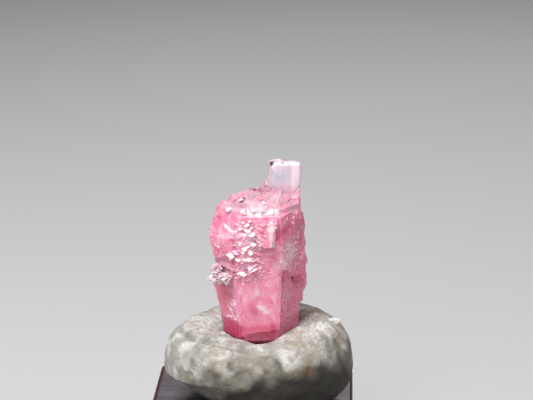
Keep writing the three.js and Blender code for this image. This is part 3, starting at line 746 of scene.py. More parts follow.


# The crystal's surface: rays fan up from the foot, run level along the axis and close over the head. Each
# point lies where its ray leaves the union of the main forms, as the mean of a few rays close beside it so
# that edges come out clean, plus fine relief. On the cap, level ledges are added: each runs in as it rises,
# then out again at once. Pits, where the relief is low, and the deepest part of each cap ledge get a deeper
# colour as painted shade.
def crystalSurface():
    c = crystal
    low, high = np.array(c["axisLow"]), np.array(c["axisHigh"])
    ends = np.cumsum([0, c["footRows"], c["sideRows"], c["headRows"]])
    rows = np.arange(1, ends[-1])

    # starts and directions: along the axis by the row, and round it by the column
    def rays(rowShift, columnShift):
        along = np.interp(rows + rowShift, ends, [0, 0, 1, 1])
        tilts = np.interp(rows + rowShift, ends, [-90, 0, 0, 90])
        u = (np.arange(c["columns"]) + columnShift) / c["columns"]
        turns = 360 * (u - c["frontDetail"] * np.sin(2 * np.pi * u))
        start = np.repeat(blend(low, high, along[:, None]), c["columns"], axis=0)
        direction = facing(np.tile(turns, len(rows)), np.repeat(tilts, c["columns"]))
        return np.vstack([low, start, high]), np.vstack([[0, 0, -1], direction, [0, 0, 1]])

    start, direction = rays(0, 0)
    shifts = (np.arange(c["samples"]) - (c["samples"] - 1) / 2) / c["samples"]
    reach = 0
    for rowShift in shifts:
        for columnShift in shifts:
            reach = reach + leaveForms(*rays(rowShift, columnShift))
    points = start + direction * (reach / c["samples"] ** 2)[:, None]
    broken = brokenShare(points)
    cap = np.clip((points[:, 2] - c["capFrom"]) / 0.3, 0, 1)
    relief = c["roughness"] * broken * (1 + 1.2 * cap) * (cleavageSteps(points) - 0.5)
    relief += 0.02 * broken * ripple(points, 0.09, 1.0)
    level = (points[:, 2] + 0.3 * softNoise(points, 0.5, 31.0)) / c["ledgePitch"]
    ledge = np.clip((level - np.floor(level)) * 1.25, 0, 1)
    relief += c["ledgeDepth"] * broken * cap * (0.5 - ledge)
    points += direction * relief[:, None]
    # painted shade: a deeper colour in pits and at the deepest part of each cap ledge
    pitShade = broken * np.clip(0.42 - cleavageSteps(points), 0, 1) + 0.3 * broken * cap * (ledge > 0.8)
    return points, closedGrid(len(rows), c["columns"]), broken, pitShade


# The masks that the finish reads, each from 0 to 1: soft patches made uneven by noise. The foot takes the
# deep clear colour below its edge, which rises to the right in front; less so on its pane, at its right and
# near its point, where it is made paler as painted light.
def crystalMasks(points, broken):
    mottle = softNoise(points, 0.5, 21.0) * 0.6 + softNoise(points, 0.17, 22.0) * 0.4
    masks = {"broken": broken}
    for name, (even, uneven) in crystal["mottled"].items():
        masks[name] = np.clip(softSpots(points, crystal[name]) * (even + uneven * mottle), 0, 1)
    x, y, z = points.T
    front = x > -1
    left, right, low = crystal["pane"]
    foot = fade(z, crystal["footEdge"] + 0.1 * x * front, -0.03)
    pane = fade(x, left, 0.03) * fade(x, right, -0.05) * fade(z, low + 0.05 * x, 0.02)
    foot *= blend(1, 0.35, np.clip((x - 0.9) / 0.4, 0, 1))
    # painted light: near its point in front the foot's deep colour is made paler, where the putty shades it
    foot *= blend(1, 0.7, np.clip((11.8 - z) / 0.4, 0, 1) * front)
    masks["gem"] = np.clip(masks["gem"] + foot * (1 - 0.62 * pane) * (0.75 + 0.3 * mottle), 0, 1)
    masks["frostAndHighlight"] *= 1 - 0.9 * foot
    return masks


rhombFaces = np.array([[0, 2, 3, 1], [4, 5, 7, 6], [0, 1, 5, 4], [2, 6, 7, 3], [0, 4, 6, 2], [1, 3, 7, 5]])
flakeLids = np.array([[0, 1, 2, 3, 4], [9, 8, 7, 6, 5]])
flakeWalls = np.array([[5 + i, 5 + (i + 1) % 5, (i + 1) % 5, i] for i in range(5)])


# The faces of many copies of one solid: its faces, moved on by its number of corners for each copy.
def repeated(faces, corners, count):
    return (faces[None] + corners * np.arange(count)[:, None, None]).reshape(-1, faces.shape[1])


# The surface as one piece, with its grains, flakes and shelves joined on.
def makeCrystal():
    points, faces, broken, pitShade = crystalSurface()
    masks = crystalMasks(points, broken)
    masks["gem"] = np.clip(masks["gem"] + pitShade, 0, 1)
    name = "rhodochrositeCrystal"
    piece = makePiece(name, standOnBlock(points), faces, "rhodochrosite", "rhodochrosite_crystal", masks)
    groups = groupsOf(*rhombSolids(), lambda n: [repeated(rhombFaces, 8, n)])
    groups += groupsOf(*flakeSolids(), lambda n: [repeated(flakeLids, 10, n), repeated(flakeWalls, 10, n)])
    for form in shelfForms():
        corners, hull = formSolid(*form)
        groups.append((standOnBlock(corners), [hull], crystalMasks(corners, np.ones(len(corners)))))
    print("joining", len(groups), "groups of grains and flakes")
    joinSolids(piece, groups, crystal["edgeAngle"])
    return piece


crystalPiece = makeCrystal()
print("crystal:", len(crystalPiece.data.vertices), "points")

# A thin plate that stands on the head at the right: edges are [height, x] and its top line is [x, height].
prong = {
    "left": [
        [19.2, 0.24], [20.5, 0.3], [20.75, 0.45], [21.2, 0.62], [21.6, 0.68], [21.85, 0.62], [22.1, 0.58],
    ],
    "right": [[19.2, 2.46], [20.4, 2.53], [21.2, 2.64], [21.6, 2.6], [22.0, 2.54]],
    "top": [[0.6, 22.02], [0.9, 22.08], [1.3, 22.12], [1.5, 21.92], [1.7, 22.0], [2.1, 21.98], [2.55, 21.93]],
    "base": 19.2,
    "curl": (0.22, 21.1),  # how far forward its left edge curls, and from which height
    "hollow": (0.79, 21.88, 0.22),  # x, height and depth
    "grooves": (0.003, 0.006),  # depth of the fine ones and of the wide ones
    "front": 0.03,
    "back": 0.6,
    "columns": 60,
    "rows": 70,
    # soft patches, as on the crystal
    "frostAndHighlight": [(1.3, 0.1, 21.6, 0.5, 0.8, 0.3, 0.35), (0.98, 0, 21.75, 0.12, 0.5, 0.3, 0.8)],
    "gem": [
        # the first spot is painted shade inside the curl
        (0.62, -0.2, 21.75, 0.08, 0.5, 0.2, 0.8), (0.5, 0.1, 21.2, 0.1, 0.8, 0.4, 0.5),
        (1.4, 0.1, 20.2, 1.2, 0.9, 0.35, 0.5), (2.3, 0.1, 20.3, 0.3, 0.9, 0.4, 0.5),
        (1.5, 0.1, 22.05, 1.3, 0.9, 0.07, 0.5), (2.58, 0.1, 21.0, 0.05, 0.9, 0.9, 0.6),
    ],
    "toneAndShade": [(1.3, 0.1, 21.2, 0.6, 0.6, 0.5, 0.9)],
    "ash": [
        # painted shade: in the hollow, in the notch on the top, and along the left edge lower down
        (0.79, 0, 21.88, 0.1, 0.4, 0.14, 1.3), (1.49, 0.1, 22.0, 0.1, 0.6, 0.1, 0.8),
        (0.6, 0.2, 20.9, 0.15, 0.8, 0.5, 0.3),
    ],
    "strip": (2.02, 20.3),  # left and lower edges of the white strip at the right
}


# A flat loop carried up the plate: across from the left edge to the right, with the top line above. Its left
# edge curls forward near the top, a hollow is sunk beside that, and sine waves groove it from top to bottom.
def prongSurface():
    p = prong
    s = (1 - np.cos(np.linspace(0, np.pi, p["columns"]))) / 2
    v = np.linspace(0, 1, p["rows"])[:, None]
    topLine = np.array(p["top"])
    top = np.interp(blend(*topLine[[0, -1], 0], s), *topLine.T)
    z = blend(p["base"], top, v)
    left = np.interp(z, *np.array(p["left"]).T)
    right = np.interp(z, *np.array(p["right"]).T)
    x = blend(left, right, s)
    fullness = np.sqrt(np.clip(1 - (2 * s - 1) ** 8, 0, 1)) + 0 * z  # thins to nothing at both edges
    forward, above = p["curl"]
    curl = forward * np.exp(-((s / 0.09) ** 2)) * np.clip((z - above) / 0.6, 0, 1)
    middle = (p["front"] + p["back"]) / 2
    half = (p["back"] - p["front"]) / 2 * np.clip((22.3 - z) / 0.5, 0.35, 1)
    at, height, depth = p["hollow"]
    hollow = depth * np.exp(-(((x - at) / 0.09) ** 2) - ((z - height) / 0.15) ** 2)
    fine, wide = p["grooves"]
    grooves = fine * np.sin(x * 62 + 1.5 * np.sin(z * 3)) + wide * np.sin(x * 17 + 0.6 * z)
    front = np.stack([x, middle - half * fullness - curl + hollow + grooves * fullness, z], axis=-1)
    back = np.stack([x, middle + half * fullness + grooves * fullness, z], axis=-1)[:, ::-1]
    ring = np.concatenate([front, back[:, 1:-1]], axis=1)
    rows, columns = ring.shape[:2]
    points = ring.reshape(-1, 3)
    points = points + 0.02 * ripple(points, 0.15, 5.0)[:, None]
    poles = [points[:columns].mean(axis=0), points[-columns:].mean(axis=0)]
    return np.vstack([poles[0], points, poles[1]]), closedGrid(rows, columns)


# Soft patches, among them painted shade in the hollow, the notch, the left edge and the curl; the frost and
# the cooler tone made uneven by noise; and a white strip that leans left towards the bottom.
def prongMasks(points):
    x, y, z = points.T
    mottle = 0.6 + 0.8 * softNoise(points, 0.25, 4.0)
    masks = {name: softSpots(points, prong[name]) for name in ("frostAndHighlight", "gem", "toneAndShade", "ash")}
    left, low = prong["strip"]
    strip = fade(x, left - 0.25 * np.clip(low + 0.3 - z, 0, 1), 0.015) * fade(z, low, 0.12)
    masks["frostAndHighlight"] = masks["frostAndHighlight"] * mottle + 0.9 * strip
    masks["toneAndShade"] *= mottle
    return {name: np.clip(mask, 0, 1) for name, mask in masks.items()}


# The plate as one piece, with its masks.
def makeProng():
    points, faces = prongSurface()
    name = "rhodochrositeProng"
    masks = prongMasks(points)
    return makePiece(name, standOnBlock(points), faces, "rhodochrosite", "rhodochrosite_crystal", masks)


prongPiece = makeProng()

tuft = {
    # heaps of white rhombs that lean every way: count, seed, centre, spread, half widths
    "heaps": {
        "upper": (150, 6001, (-2.55, -1.1, 15.55), (0.34, 0.4, 0.36), (0.03, 0.1)),
        "middle": (150, 6907, (-2.3, -1.4, 15.12), (0.4, 0.34, 0.34), (0.03, 0.1)),
        "inner": (110, 7901, (-1.95, -1.6, 15.05), (0.34, 0.25, 0.3), (0.03, 0.09)),
        "tip": (60, 8807, (-2.86, -1.0, 14.95), (0.28, 0.2, 0.15), (0.025, 0.08)),
    },
    "edgeAngle": 20,
}


# Each heap's rhombs sit on an ellipsoid about its centre, spread over it by the golden ratio.
def tuftSolids():
    centres, halves, normals = [], [], []
    for count, seed, centre, spread, size in tuft["heaps"].values():
        i = np.arange(count)
        k = seed + 9 * i
        tilt = np.degrees(np.arcsin(1 - 2 * (i + 0.5) / count))
        away = facing(360 * ((i * 0.618034) % 1), tilt)
        centres.append(np.array(centre) + away * spread * (0.45 + 0.6 * chance(k + 1))[:, None])
        half = blend(*size, chance(k + 3) ** 1.5)
        sides = np.stack([1 + 0 * half, 0.5 + 0.3 * chance(k + 2), 0.6 + 0.8 * chance(k + 4)], axis=-1)
        halves.append(half[:, None] * sides)
        normals.append(rhombNormals(360 * chance(k + 5), 60 * chance(k + 6), 360 * chance(k + 7)))
    centres, halves, normals = (np.concatenate(part) for part in (centres, halves, normals))
    return centres, rhombCorners(centres, halves, normals)


# The first clear group of rhombs is the piece, and the others are joined to it.
def makeTuft():
    centres, corners = tuftSolids()
    group = clearGroups(centres, corners)
    parts = []
    for g in range(group.max() + 1):
        inside = corners[group == g]
        parts.append((standOnBlock(inside.reshape(-1, 3)), [repeated(rhombFaces, 8, len(inside))], {}))
    piece = makePiece("rhodochrositeTuft", *parts[0][:2], "rhodochrosite", "rhodochrosite_crystal")
    joinSolids(piece, parts[1:], tuft["edgeAngle"])
    return piece


tuftPiece = makeTuft()
print("prong and tuft:", len(prongPiece.data.vertices) + len(tuftPiece.data.vertices), "points")

# Each row goes round from the front by way of the right, as the dents' turns do.
putty = {
    "columns": 400,
    "rows": 180,
    "base": 6.35,  # the top of the block
    "foot": [3.3, 2.9, 3.4, 3.8, 4.0, 3.1, 2.4, 2.6],
    "waist": [5.6, 5.8, 5.8, 5.5, 5.5, 5.65, 5.85, 5.7],
    "waistHeight": [9.5, 8.9, 8.6, 9.0, 9.1, 8.9, 8.7, 9.2],
    "straightness": [1.3, 1.4, 1.2, 1.2, 1.2, 1.6, 2.2, 1.9],  # of the flank under the waist
    "rim": [2.75, 2.9, 3.4, 3.3, 3.2, 3.2, 3.2, 2.9],
    "rimHeight": [11.25, 11.8, 12.0, 11.9, 11.9, 11.7, 11.6, 11.6],
    "lipHeight": 0.13,
    "foldDepth": 0.2,  # of the crease under the lip
    "creased": (4.6, 10.9, 0.035),  # fine creases: within this reach, above this height, and their depth
    "hollowReach": 1.3,
    "hollowFloor": 10.7,
    # turn, height, half width, depth; a lump where the depth is negative
    "dents": [
        [-8, 10.3, 0.8, 0.22], [-48, 10.5, 0.9, -0.16], [-76, 9.7, 1.1, 0.16], [-30, 9.4, 0.8, 0.14],
        [24, 10.4, 1.0, -0.2], [38, 9.1, 0.9, 0.16], [62, 10.7, 0.8, 0.14], [88, 9.6, 1.0, -0.1],
        [118, 10.4, 1.1, 0.2], [146, 8.8, 1.2, -0.18], [176, 10.2, 1.1, 0.18], [204, 9.2, 1.0, -0.16],
        [226, 10.6, 1.0, 0.18], [250, 8.9, 1.1, 0.16], [8, 8.2, 1.1, -0.15], [-8, 10.25, 0.35, 0.16],
        [-46, 9.8, 0.18, 0.14], [-2, 9.9, 0.4, -0.1], [-62, 11.0, 0.5, -0.1], [-20, 9.9, 0.45, -0.12],
        [12, 10.6, 0.5, -0.1], [45, 10.2, 0.4, 0.1], [56, 10.9, 0.3, 0.1], [60, 10.4, 0.3, -0.08],
    ],
    # kneading: depth, size of its lumps, seed
    "lumps": [(0.14, 1.4, 31.0), (0.13, 0.7, 32.0), (0.07, 0.32, 33.0), (0.03, 0.13, 34.0)],
    # where the pinched lip runs, as places between waist (1) and rim (2), at turns from the left to the front
    "lip": [[-100, 1.7], [-75, 1.75], [-55, 1.86], [-30, 1.92], [-10, 1.94], [20, 1.95]],
    # a chip of shiny film stuck at the right: the corners of its upper side, and its thickness
    "fleck": [(4.32, -0.2, 12.0), (4.66, -0.04, 12.03), (5.1, -0.12, 11.96), (4.8, -0.42, 11.58)],
    "fleckThick": 0.14,
    "edgeAngle": 40,
    # stains: x, y, z, radius, strength
    "stains": [
        (2.97, -4.85, 10.4, 0.35, 1.6), (-3.1, 2.5, 11.8, 0.3, 1.4), (3.2, 1.2, 11.7, 0.9, 0.7),
        (4.2, 0.2, 11.5, 0.7, 0.6), (2.7, 1.5, 11.5, 0.6, 0.9), (-4.2, -1.4, 11.5, 0.35, 0.5),
        (4.9, -1.5, 11.0, 0.6, 0.5), (5.6, -1.2, 9.0, 0.22, 0.9), (-2.6, -4.6, 10.6, 0.4, 0.4),
    ],
    # turn and height below which the flank is painted dark as shade under the bulge, all the way round
    "underShadeHeights": [[-180, 8.4], [-90, 7.6], [-45, 8.2], [0, 10.95], [30, 11.2], [60, 10.7], [95, 8.9], [180, 8.4]],
    # turn and height below which the putty is painted darker as shade, all the way round
    "shadeLine": [
        [-180, 10.3], [-110, 9.6], [-80, 9.3], [-60, 9.8], [-40, 10.7], [-20, 11.35], [15, 11.35], [35, 11.3],
        [60, 11.3], [100, 10.6], [180, 10.3],
    ],
    # darker, greyer zones of painted shade: x, y, z, radius, strength
    "paintedShade": [
        (4.6, -3.4, 10.4, 2.0, 0.9), (2.6, -5.2, 9.8, 1.5, 0.6), (-0.6, -5.3, 9.9, 1.6, 0.55),
        (5.4, -1.0, 9.8, 1.6, 0.7), (-3.5, -4.0, 10.9, 0.8, 0.9), (1.9, -5.0, 10.8, 0.9, 1.0),
        (2.5, -5.1, 10.5, 0.8, 1.0), (-1.7, -5.1, 10.4, 0.8, 0.9),
    ],
    # small shadowed dents: x, y, z, radius, strength
    "shadows": [
        (-0.85, -5.2, 10.25, 0.34, 0.9), (-4.25, -4.0, 9.8, 0.14, 0.9), (4.25, -3.2, 10.6, 0.2, 0.7),
        (4.9, -2.4, 9.9, 0.25, 0.7), (2.6, 1.3, 11.3, 0.4, 0.9), (-3.3, -3.0, 11.3, 0.45, 0.35),
        (-2.4, -4.5, 9.9, 0.3, 0.35),
    ],
}


# A closed cubic curve through a row's values at even turns (Catmull-Rom), read at any share of a turn.
def roundRow(row, share):
    row = np.array(row, float)
    at = share * len(row)
    i = np.floor(at).astype(int)
    t = at - i
    a, b, c, d = (row[(i + k) % len(row)] for k in (-1, 0, 1, 2))
    return b + 0.5 * t * (c - a + t * (2 * a - 5 * b + 4 * c - d + t * (3 * (b - c) + d - a)))


# The putty: one section from the block, out over the waist and rim and into the hollow, carried round. Both
# flanks are quarter ellipses raised to a power, and each dent is a soft blob taken off the reach.
def puttySurface():
    p = putty
    u = np.arange(p["columns"]) / p["columns"]
    share = u - 0.06 * np.sin(2 * np.pi * u)
    names = "foot", "waist", "waistHeight", "straightness", "rim", "rimHeight"
    foot, waist, waistHeight, straight, rim, rimHeight = (roundRow(p[name], share) for name in names)
    t = np.linspace(0, 3, p["rows"])[:, None]
    quarter = np.pi / 2
    low, mid, high = np.clip(t, 0, 1), np.clip(t - 1, 0, 1), np.clip(t - 2, 0, 1)
    under = foot + (waist - foot) * np.sin(low * quarter) ** straight
    underUp = waistHeight - (waistHeight - p["base"]) * np.cos(low * quarter) ** straight
    flank = rim + (waist - rim) * np.cos(mid * quarter) ** 0.75
    flankUp = waistHeight + (rimHeight - waistHeight) * np.sin(mid * quarter) ** 0.75
    hollow = blend(rim, p["hollowReach"], high**0.8)
    hollowUp = blend(rimHeight, p["hollowFloor"], 0.5 - 0.5 * np.cos(np.pi * high))
    out = np.where(t < 1, under, np.where(t < 2, flank, hollow))
    up = np.where(t < 1, underUp, np.where(t < 2, flankUp, hollowUp))
    turn = 360 * share + 0 * t
    for at, height, half, deep in p["dents"]:
        along = np.radians((turn - at + 180) % 360 - 180) * out
        out = out - deep * np.exp(-(along**2 + (up - height) ** 2) / half**2) * (t > 0)
    points = (facing(turn, 0 * turn) * out[..., None]).reshape(-1, 3)
    points[:, 2] = up.ravel()
    return points, closedGrid(p["rows"], p["columns"]), np.repeat(t.ravel(), p["columns"])


# Thin creases: 1 along the lines where soft noise crosses its middle, falling off quickly beside them.
def creases(points, cell, seed):
    return np.clip(1 - np.abs(2 * softNoise(points, cell, seed) - 1) * 7, 0, 1)


# Soft spots with one radius for all three axes.
def spotty(points, spots):
    return softSpots(points, [(x, y, z, r, r, r, strength) for x, y, z, r, strength in spots])


# Kneaded surface: soft lumps of four sizes pushed outwards, a pinched lip with a crease under it, and fine
# creases near the hollow. Nothing moves where it rests on the block. The chip of film is joined on.
def makePutty():
    p = putty
    points, faces, t = puttySurface()
    turn = np.degrees(np.arctan2(points[:, 0], -points[:, 1]))
    centre = facing(turn, 0.0 * turn) * 3.3  # the middle of the ring, which lumps push away from
    centre[:, 2] = 9.0
    away = points - centre
    away /= np.linalg.norm(away, axis=1, keepdims=True)
    lumps = sum(depth * ripple(points, cell, seed) for depth, cell, seed in p["lumps"])
    lipAt = np.interp(turn, *np.array(p["lip"]).T)
    lipShare = np.clip((turn + 110) / 20, 0, 1) * np.clip((15 - turn) / 20, 0, 1)
    lumps += lipShare * p["lipHeight"] * np.exp(-(((t - lipAt) / 0.05) ** 2))
    fold = lipShare * np.exp(-(((t - lipAt + 0.11) / 0.05) ** 2))
    lumps -= p["foldDepth"] * fold
    within, above, depth = p["creased"]
    reach = np.hypot(points[:, 0], points[:, 1])
    upper = np.clip((within - reach) / 0.8, 0, 1) * np.clip((points[:, 2] - above) / 0.4, 0, 1)
    upper *= np.clip((np.abs(turn - 10) - 25) / 30, 0, 1)  # none right in front
    cracks = creases(points * (1, 1, 0.6), 0.55, 35.0) + 0.6 * creases(points, 0.3, 36.0)
    lumps -= depth * upper * cracks
    free = np.clip((points[:, 2] - p["base"]) / 0.5, 0, 1)
    points = points + away * (lumps * free)[:, None]
    points[:, 2] = np.maximum(points[:, 2], p["base"])
    points = np.vstack([[0, 0, p["base"]], points, [0, 0, p["hollowFloor"]]])
    turn, upper, cracks, fold = (np.concatenate([[0], a, [0]]) for a in (turn, upper, cracks, fold))
    # painted shade under the bulge: darker below heights that go round, made uneven by noise
    under = np.interp(turn, *np.array(p["underShadeHeights"]).T)
    wide = np.interp(np.abs(turn - 25), [40, 90], [1.3, 2.2])
    underShade = np.clip((under - points[:, 2]) / wide + 0.8 * ripple(points, 0.8, 37.0), 0, 1)
    # painted shade up to a wavy line higher on the flank
    patchy = 1.5 * ripple(points, 0.9, 38.0) + 0.6 * ripple(points, 0.4, 39.0)
    shadeLine = np.clip((np.interp(turn, *np.array(p["shadeLine"]).T) + patchy - points[:, 2]) / 1.1, 0, 1)
    # painted shade on darker zones and below a wavy line, painted shadow in dents, creases and under the lip,
    # and painted shade under the bulge
    masks = {
        "paintedShade": np.clip(spotty(points, p["paintedShade"]) * (0.5 + 0.8 * patchy) + 0.9 * shadeLine, 0, 1),
        "stain": spotty(points, p["stains"]),
        "shadow": spotty(points, p["shadows"]) + 0.5 * upper * cracks + 0.35 * fold,
        "underShade": underShade**1.3,
        "shine": 0 * underShade,
    }
    piece = makePiece("puttyMount", standOnBlock(points), faces, "putty", "putty_mount", masks)
    above = np.array(p["fleck"])
    corners = np.vstack([above, above - (0.6 * p["fleckThick"], 0, p["fleckThick"])])
    sides = np.array([[0, 4, 5, 1], [1, 5, 6, 2], [2, 6, 7, 3], [3, 7, 4, 0], [0, 1, 2, 3], [7, 6, 5, 4]])
    bare = {name: np.zeros(8) for name in masks}
    joinSolids(piece, [(standOnBlock(corners), [sides], {**bare, "shine": np.ones(8)})], p["edgeAngle"])
    return piece


puttyPiece = makePutty()
print("putty:", len(puttyPiece.data.vertices), "points")

block = {
    "side": 12.7,
    "height": 6.35,
    "edge": 0.25,
    "sawPitch": 0.18,
    "sawDepth": 0.012,
    "rows": 420,  # across the saw marks
    "edgeSteps": 7,
}


# The block: a side outline with eased corners and a saw-marked top (a cosine wave whose pitch wanders a
# little), carried from left to right and drawn in along a quarter circle at both ends.
def blockSurface():
    b = block
    half, edge, top = b["side"] / 2, b["edge"], b["height"]
    y = np.linspace(half - edge, -half + edge, b["rows"])
    marks = b["sawDepth"] * (0.5 + 0.5 * np.cos(2 * np.pi * y / b["sawPitch"] + 1.5 * np.sin(y * 1.7)))
    corner = np.radians(np.linspace(0, 90, b["edgeSteps"]))
    arc = edge * np.stack([np.sin(corner), np.cos(corner)], axis=-1)
    front = np.stack([-half + edge - arc[:, 0], top - edge + arc[:, 1]], axis=-1)
    lowFront = np.stack([-half + edge - arc[::-1, 0], edge - arc[::-1, 1]], axis=-1)
    lowBack = np.stack([half - edge + arc[:, 0], edge - arc[:, 1]], axis=-1)
    back = np.stack([half - edge + arc[::-1, 0], top - edge + arc[::-1, 1]], axis=-1)
    loop = np.concatenate([np.stack([y, top - marks], axis=-1)[1:-1], front, lowFront, lowBack, back])
    inset = edge * (1 - np.sin(corner))
    x = np.concatenate([-half + edge - edge * np.cos(corner), half - edge + edge * np.cos(corner[::-1])])
    inset = np.concatenate([inset, inset[::-1]])[:, None]
    y, z = loop.T
    y = y * (1 - inset / half)
    z = top / 2 + (z - top / 2) * (1 - inset / (top / 2))
    points = np.stack([x[:, None] + 0 * y, y, z], axis=-1).reshape(-1, 3)
    ends = np.array([[x[0], 0, top / 2], [x[-1], 0, top / 2]])
    return np.vstack([ends[:1], points, ends[1:]]), closedGrid(len(x), len(loop))


blockPiece = makePiece("sawnBlock", *blockSurface(), "block", "sawn_block", smooth=False)
print("block:", len(blockPiece.data.vertices), "points")


# A material, with short calls that add nodes to it and join them.
class Finish:
    def __init__(self, name):
        self.material = bpy.data.materials.new(name)
        self.material.use_nodes = True
        self.tree = self.material.node_tree
        self.shader = self.tree.nodes["Principled BSDF"]

    # a new node, its settings, and what goes into its sockets (an underscore stands for a space)
    def node(self, kind, settings=None, **sockets):
        made = self.tree.nodes.new("ShaderNode" + kind)
        for key, value in (settings or {}).items():
            setattr(made, key, value)
        for key, value in sockets.items():
            self.feed(made.inputs[key.replace("_", " ")], value)
        return made

    # links another node's output to a socket, or sets its value; a name is that of one of the mesh's masks
    def feed(self, socket, value):
        if isinstance(value, str):
            value = self.node("Attribute", {"attribute_name": value}).outputs["Fac"]
        if isinstance(value, bpy.types.NodeSocket):
            self.tree.links.new(value, socket)
        elif isinstance(value, (tuple, list)) and len(value) == 3 and socket.type == "RGBA":
            socket.default_value = (*value, 1)
        else:
            socket.default_value = value

    # object coordinates in millimetres, turned about Z and then squeezed along each axis
    def place(self, scale=(1, 1, 1), turn=0.0):
        where = self.node("TexCoord").outputs["Object"]
        if turn:
            where = self.node("Mapping", None, Vector=where, Rotation=(0, 0, turn)).outputs["Vector"]
        return self.node("Mapping", None, Vector=where, Scale=tuple(s / mm for s in scale)).outputs["Vector"]

    # cloudy noise from 0 to 1, with the scale in clouds per millimetre
    def noise(self, where, scale, detail, roughness=0.5, distortion=0.0):
        sockets = {"Scale": scale, "Detail": detail, "Roughness": roughness, "Distortion": distortion}
        return self.node("TexNoise", None, Vector=where, **sockets).outputs["Fac"]

    # 0 below low, 1 above high, and an S-curve between
    def ramp(self, value, low, high):
        smooth = {"interpolation_type": "SMOOTHSTEP"}
        return self.node("MapRange", smooth, Value=value, From_Min=low, From_Max=high).outputs["Result"]

    # colour a where the share is 0, colour b where it is 1
    def mix(self, share, a, b):
        made = self.node("Mix", {"data_type": "RGBA"})
        self.feed(made.inputs[0], share)
        self.feed(made.inputs[6], a)
        self.feed(made.inputs[7], b)
        return made.outputs[2]

    # lays colours over a body in turn: each by its share, which may be scaled by a strength
    def layers(self, body, *coats):
        for colour, share, *strength in coats:
            body = self.mix(self.times(share, *strength) if strength else share, body, colour)
        return body

    # one sum of two values, with two short forms of it
    def maths(self, operation, a, b):
        made = self.node("Math", {"operation": operation})
        self.feed(made.inputs[0], a)
        self.feed(made.inputs[1], b)
        return made.outputs[0]

    def times(self, a, b):
        return self.maths("MULTIPLY", a, b)

    def plus(self, a, b):
        return self.maths("ADD", a, b)

    # one coordinate of the object, in millimetres
    def along(self, axis, where):
        return self.node("SeparateXYZ", None, Vector=where).outputs[axis]

    # fine relief in the shading: its height, strength and depth in metres
    def bump(self, height, strength, depth):
        made = self.node("Bump", None, Strength=strength, Distance=depth, Height=height)
        self.set(Normal=made.outputs["Normal"])

    # what goes into the shader's sockets
    def set(self, **sockets):
        for key, value in sockets.items():
            self.feed(self.shader.inputs[key.replace("_", " ")], value)


stone = {
    "pink": (0.83, 0.2, 0.36),
    "rose": (0.9, 0.38, 0.52),
    "deep": (0.68, 0.065, 0.18),
    # the next colour is partly painted shade
    "toneAndShade": (0.9, 0.145, 0.25),
    "frostAndHighlight": (0.9, 0.74, 0.8),
    # the next colour is partly painted shade on the cap
    "ash": (0.45, 0.235, 0.31),
    "depth": 0.0007,  # metres that light wanders inside
    "radius": (1.0, 0.28, 0.42),
    "relief": 0.00004,
}


# Pink clouded with rose, then deep pockets, pale veils, flecks and grain by noise, then the mesh's own masks,
# which carry painted highlights and painted shade besides the stone's own tones.
def stoneFinish():
    f = Finish("rhodochrositeStone")
    where = f.place()
    cloudy = f.ramp(f.noise(where, 1.1, 4, 0.55, 0.3), 0.3, 0.72)
    pockets = f.ramp(f.noise(where, 2.6, 5, 0.6, 0.5), 0.52, 0.72)
    veil = f.ramp(f.noise(f.place((1, 1, 0.45), 0.4), 3.2, 5, 0.65, 0.6), 0.49, 0.69)
    flecks = f.ramp(f.noise(where, 6.5, 3, 0.6), 0.54, 0.68)
    grain = f.times(f.ramp(f.noise(where, 9, 4, 0.7), 0.52, 0.7), "broken")
    body = f.layers(
        stone["pink"],
        (stone["rose"], cloudy),
        (stone["deep"], pockets, 0.6),
        (stone["frostAndHighlight"], veil, 0.55),
        (stone["frostAndHighlight"], flecks, 0.3),
        (stone["frostAndHighlight"], grain, 0.35),
        (stone["toneAndShade"], "toneAndShade"),
        (stone["ash"], "ash"),
        (stone["deep"], "gem"),
        (stone["frostAndHighlight"], "frostAndHighlight"),
    )
    cloudiness = f.maths("SUBTRACT", 0.75, f.times("ash", 0.6))
    f.set(Base_Color=body, IOR=1.65, Transmission_Weight=f.plus(f.times("gem", 0.15), 0.1))
    f.set(Subsurface_Weight=cloudiness, Subsurface_Scale=stone["depth"], Subsurface_Radius=stone["radius"])
    rough = f.plus(f.times("broken", 0.16), 0.14)
    f.set(Roughness=f.plus(rough, f.times("frostAndHighlight", 0.2)))
    streaks = f.noise(f.place((1, 1, 0.2)), 7, 3)
    f.bump(f.plus(f.noise(where, 22, 3), f.times(streaks, 1.5)), 0.35, stone["relief"])
    return f.material


bloom = {
    "white": (0.98, 0.88, 0.91),
    "pink": (0.96, 0.6, 0.7),
    "radius": (1.0, 0.85, 0.9),
}


# The tuft: white and pink by noise, milky and half clear.
def tuftFinish():
    f = Finish("whiteTuft")
    body = f.mix(f.ramp(f.noise(f.place(), 1.8, 3), 0.3, 0.62), bloom["white"], bloom["pink"])
    f.set(Base_Color=body, Roughness=0.25, IOR=1.6, Transmission_Weight=0.3)
    f.set(Subsurface_Weight=0.7, Subsurface_Scale=0.0002, Subsurface_Radius=bloom["radius"])
    return f.material


plate = {
    "blue": (0.7, 0.6, 0.7),
    "pale": (0.83, 0.66, 0.75),
    "cool": (0.6, 0.6, 0.68),
    "pink": (0.72, 0.28, 0.4),
    "blush": (0.8, 0.5, 0.6),
    "white": (0.97, 0.8, 0.87),
    # the next colour is painted shade for the hollow, the notch and the left edge
    "hollow": (0.16, 0.09, 0.12),
    "radius": (1.0, 0.5, 0.6),
    "relief": 0.00003,
}


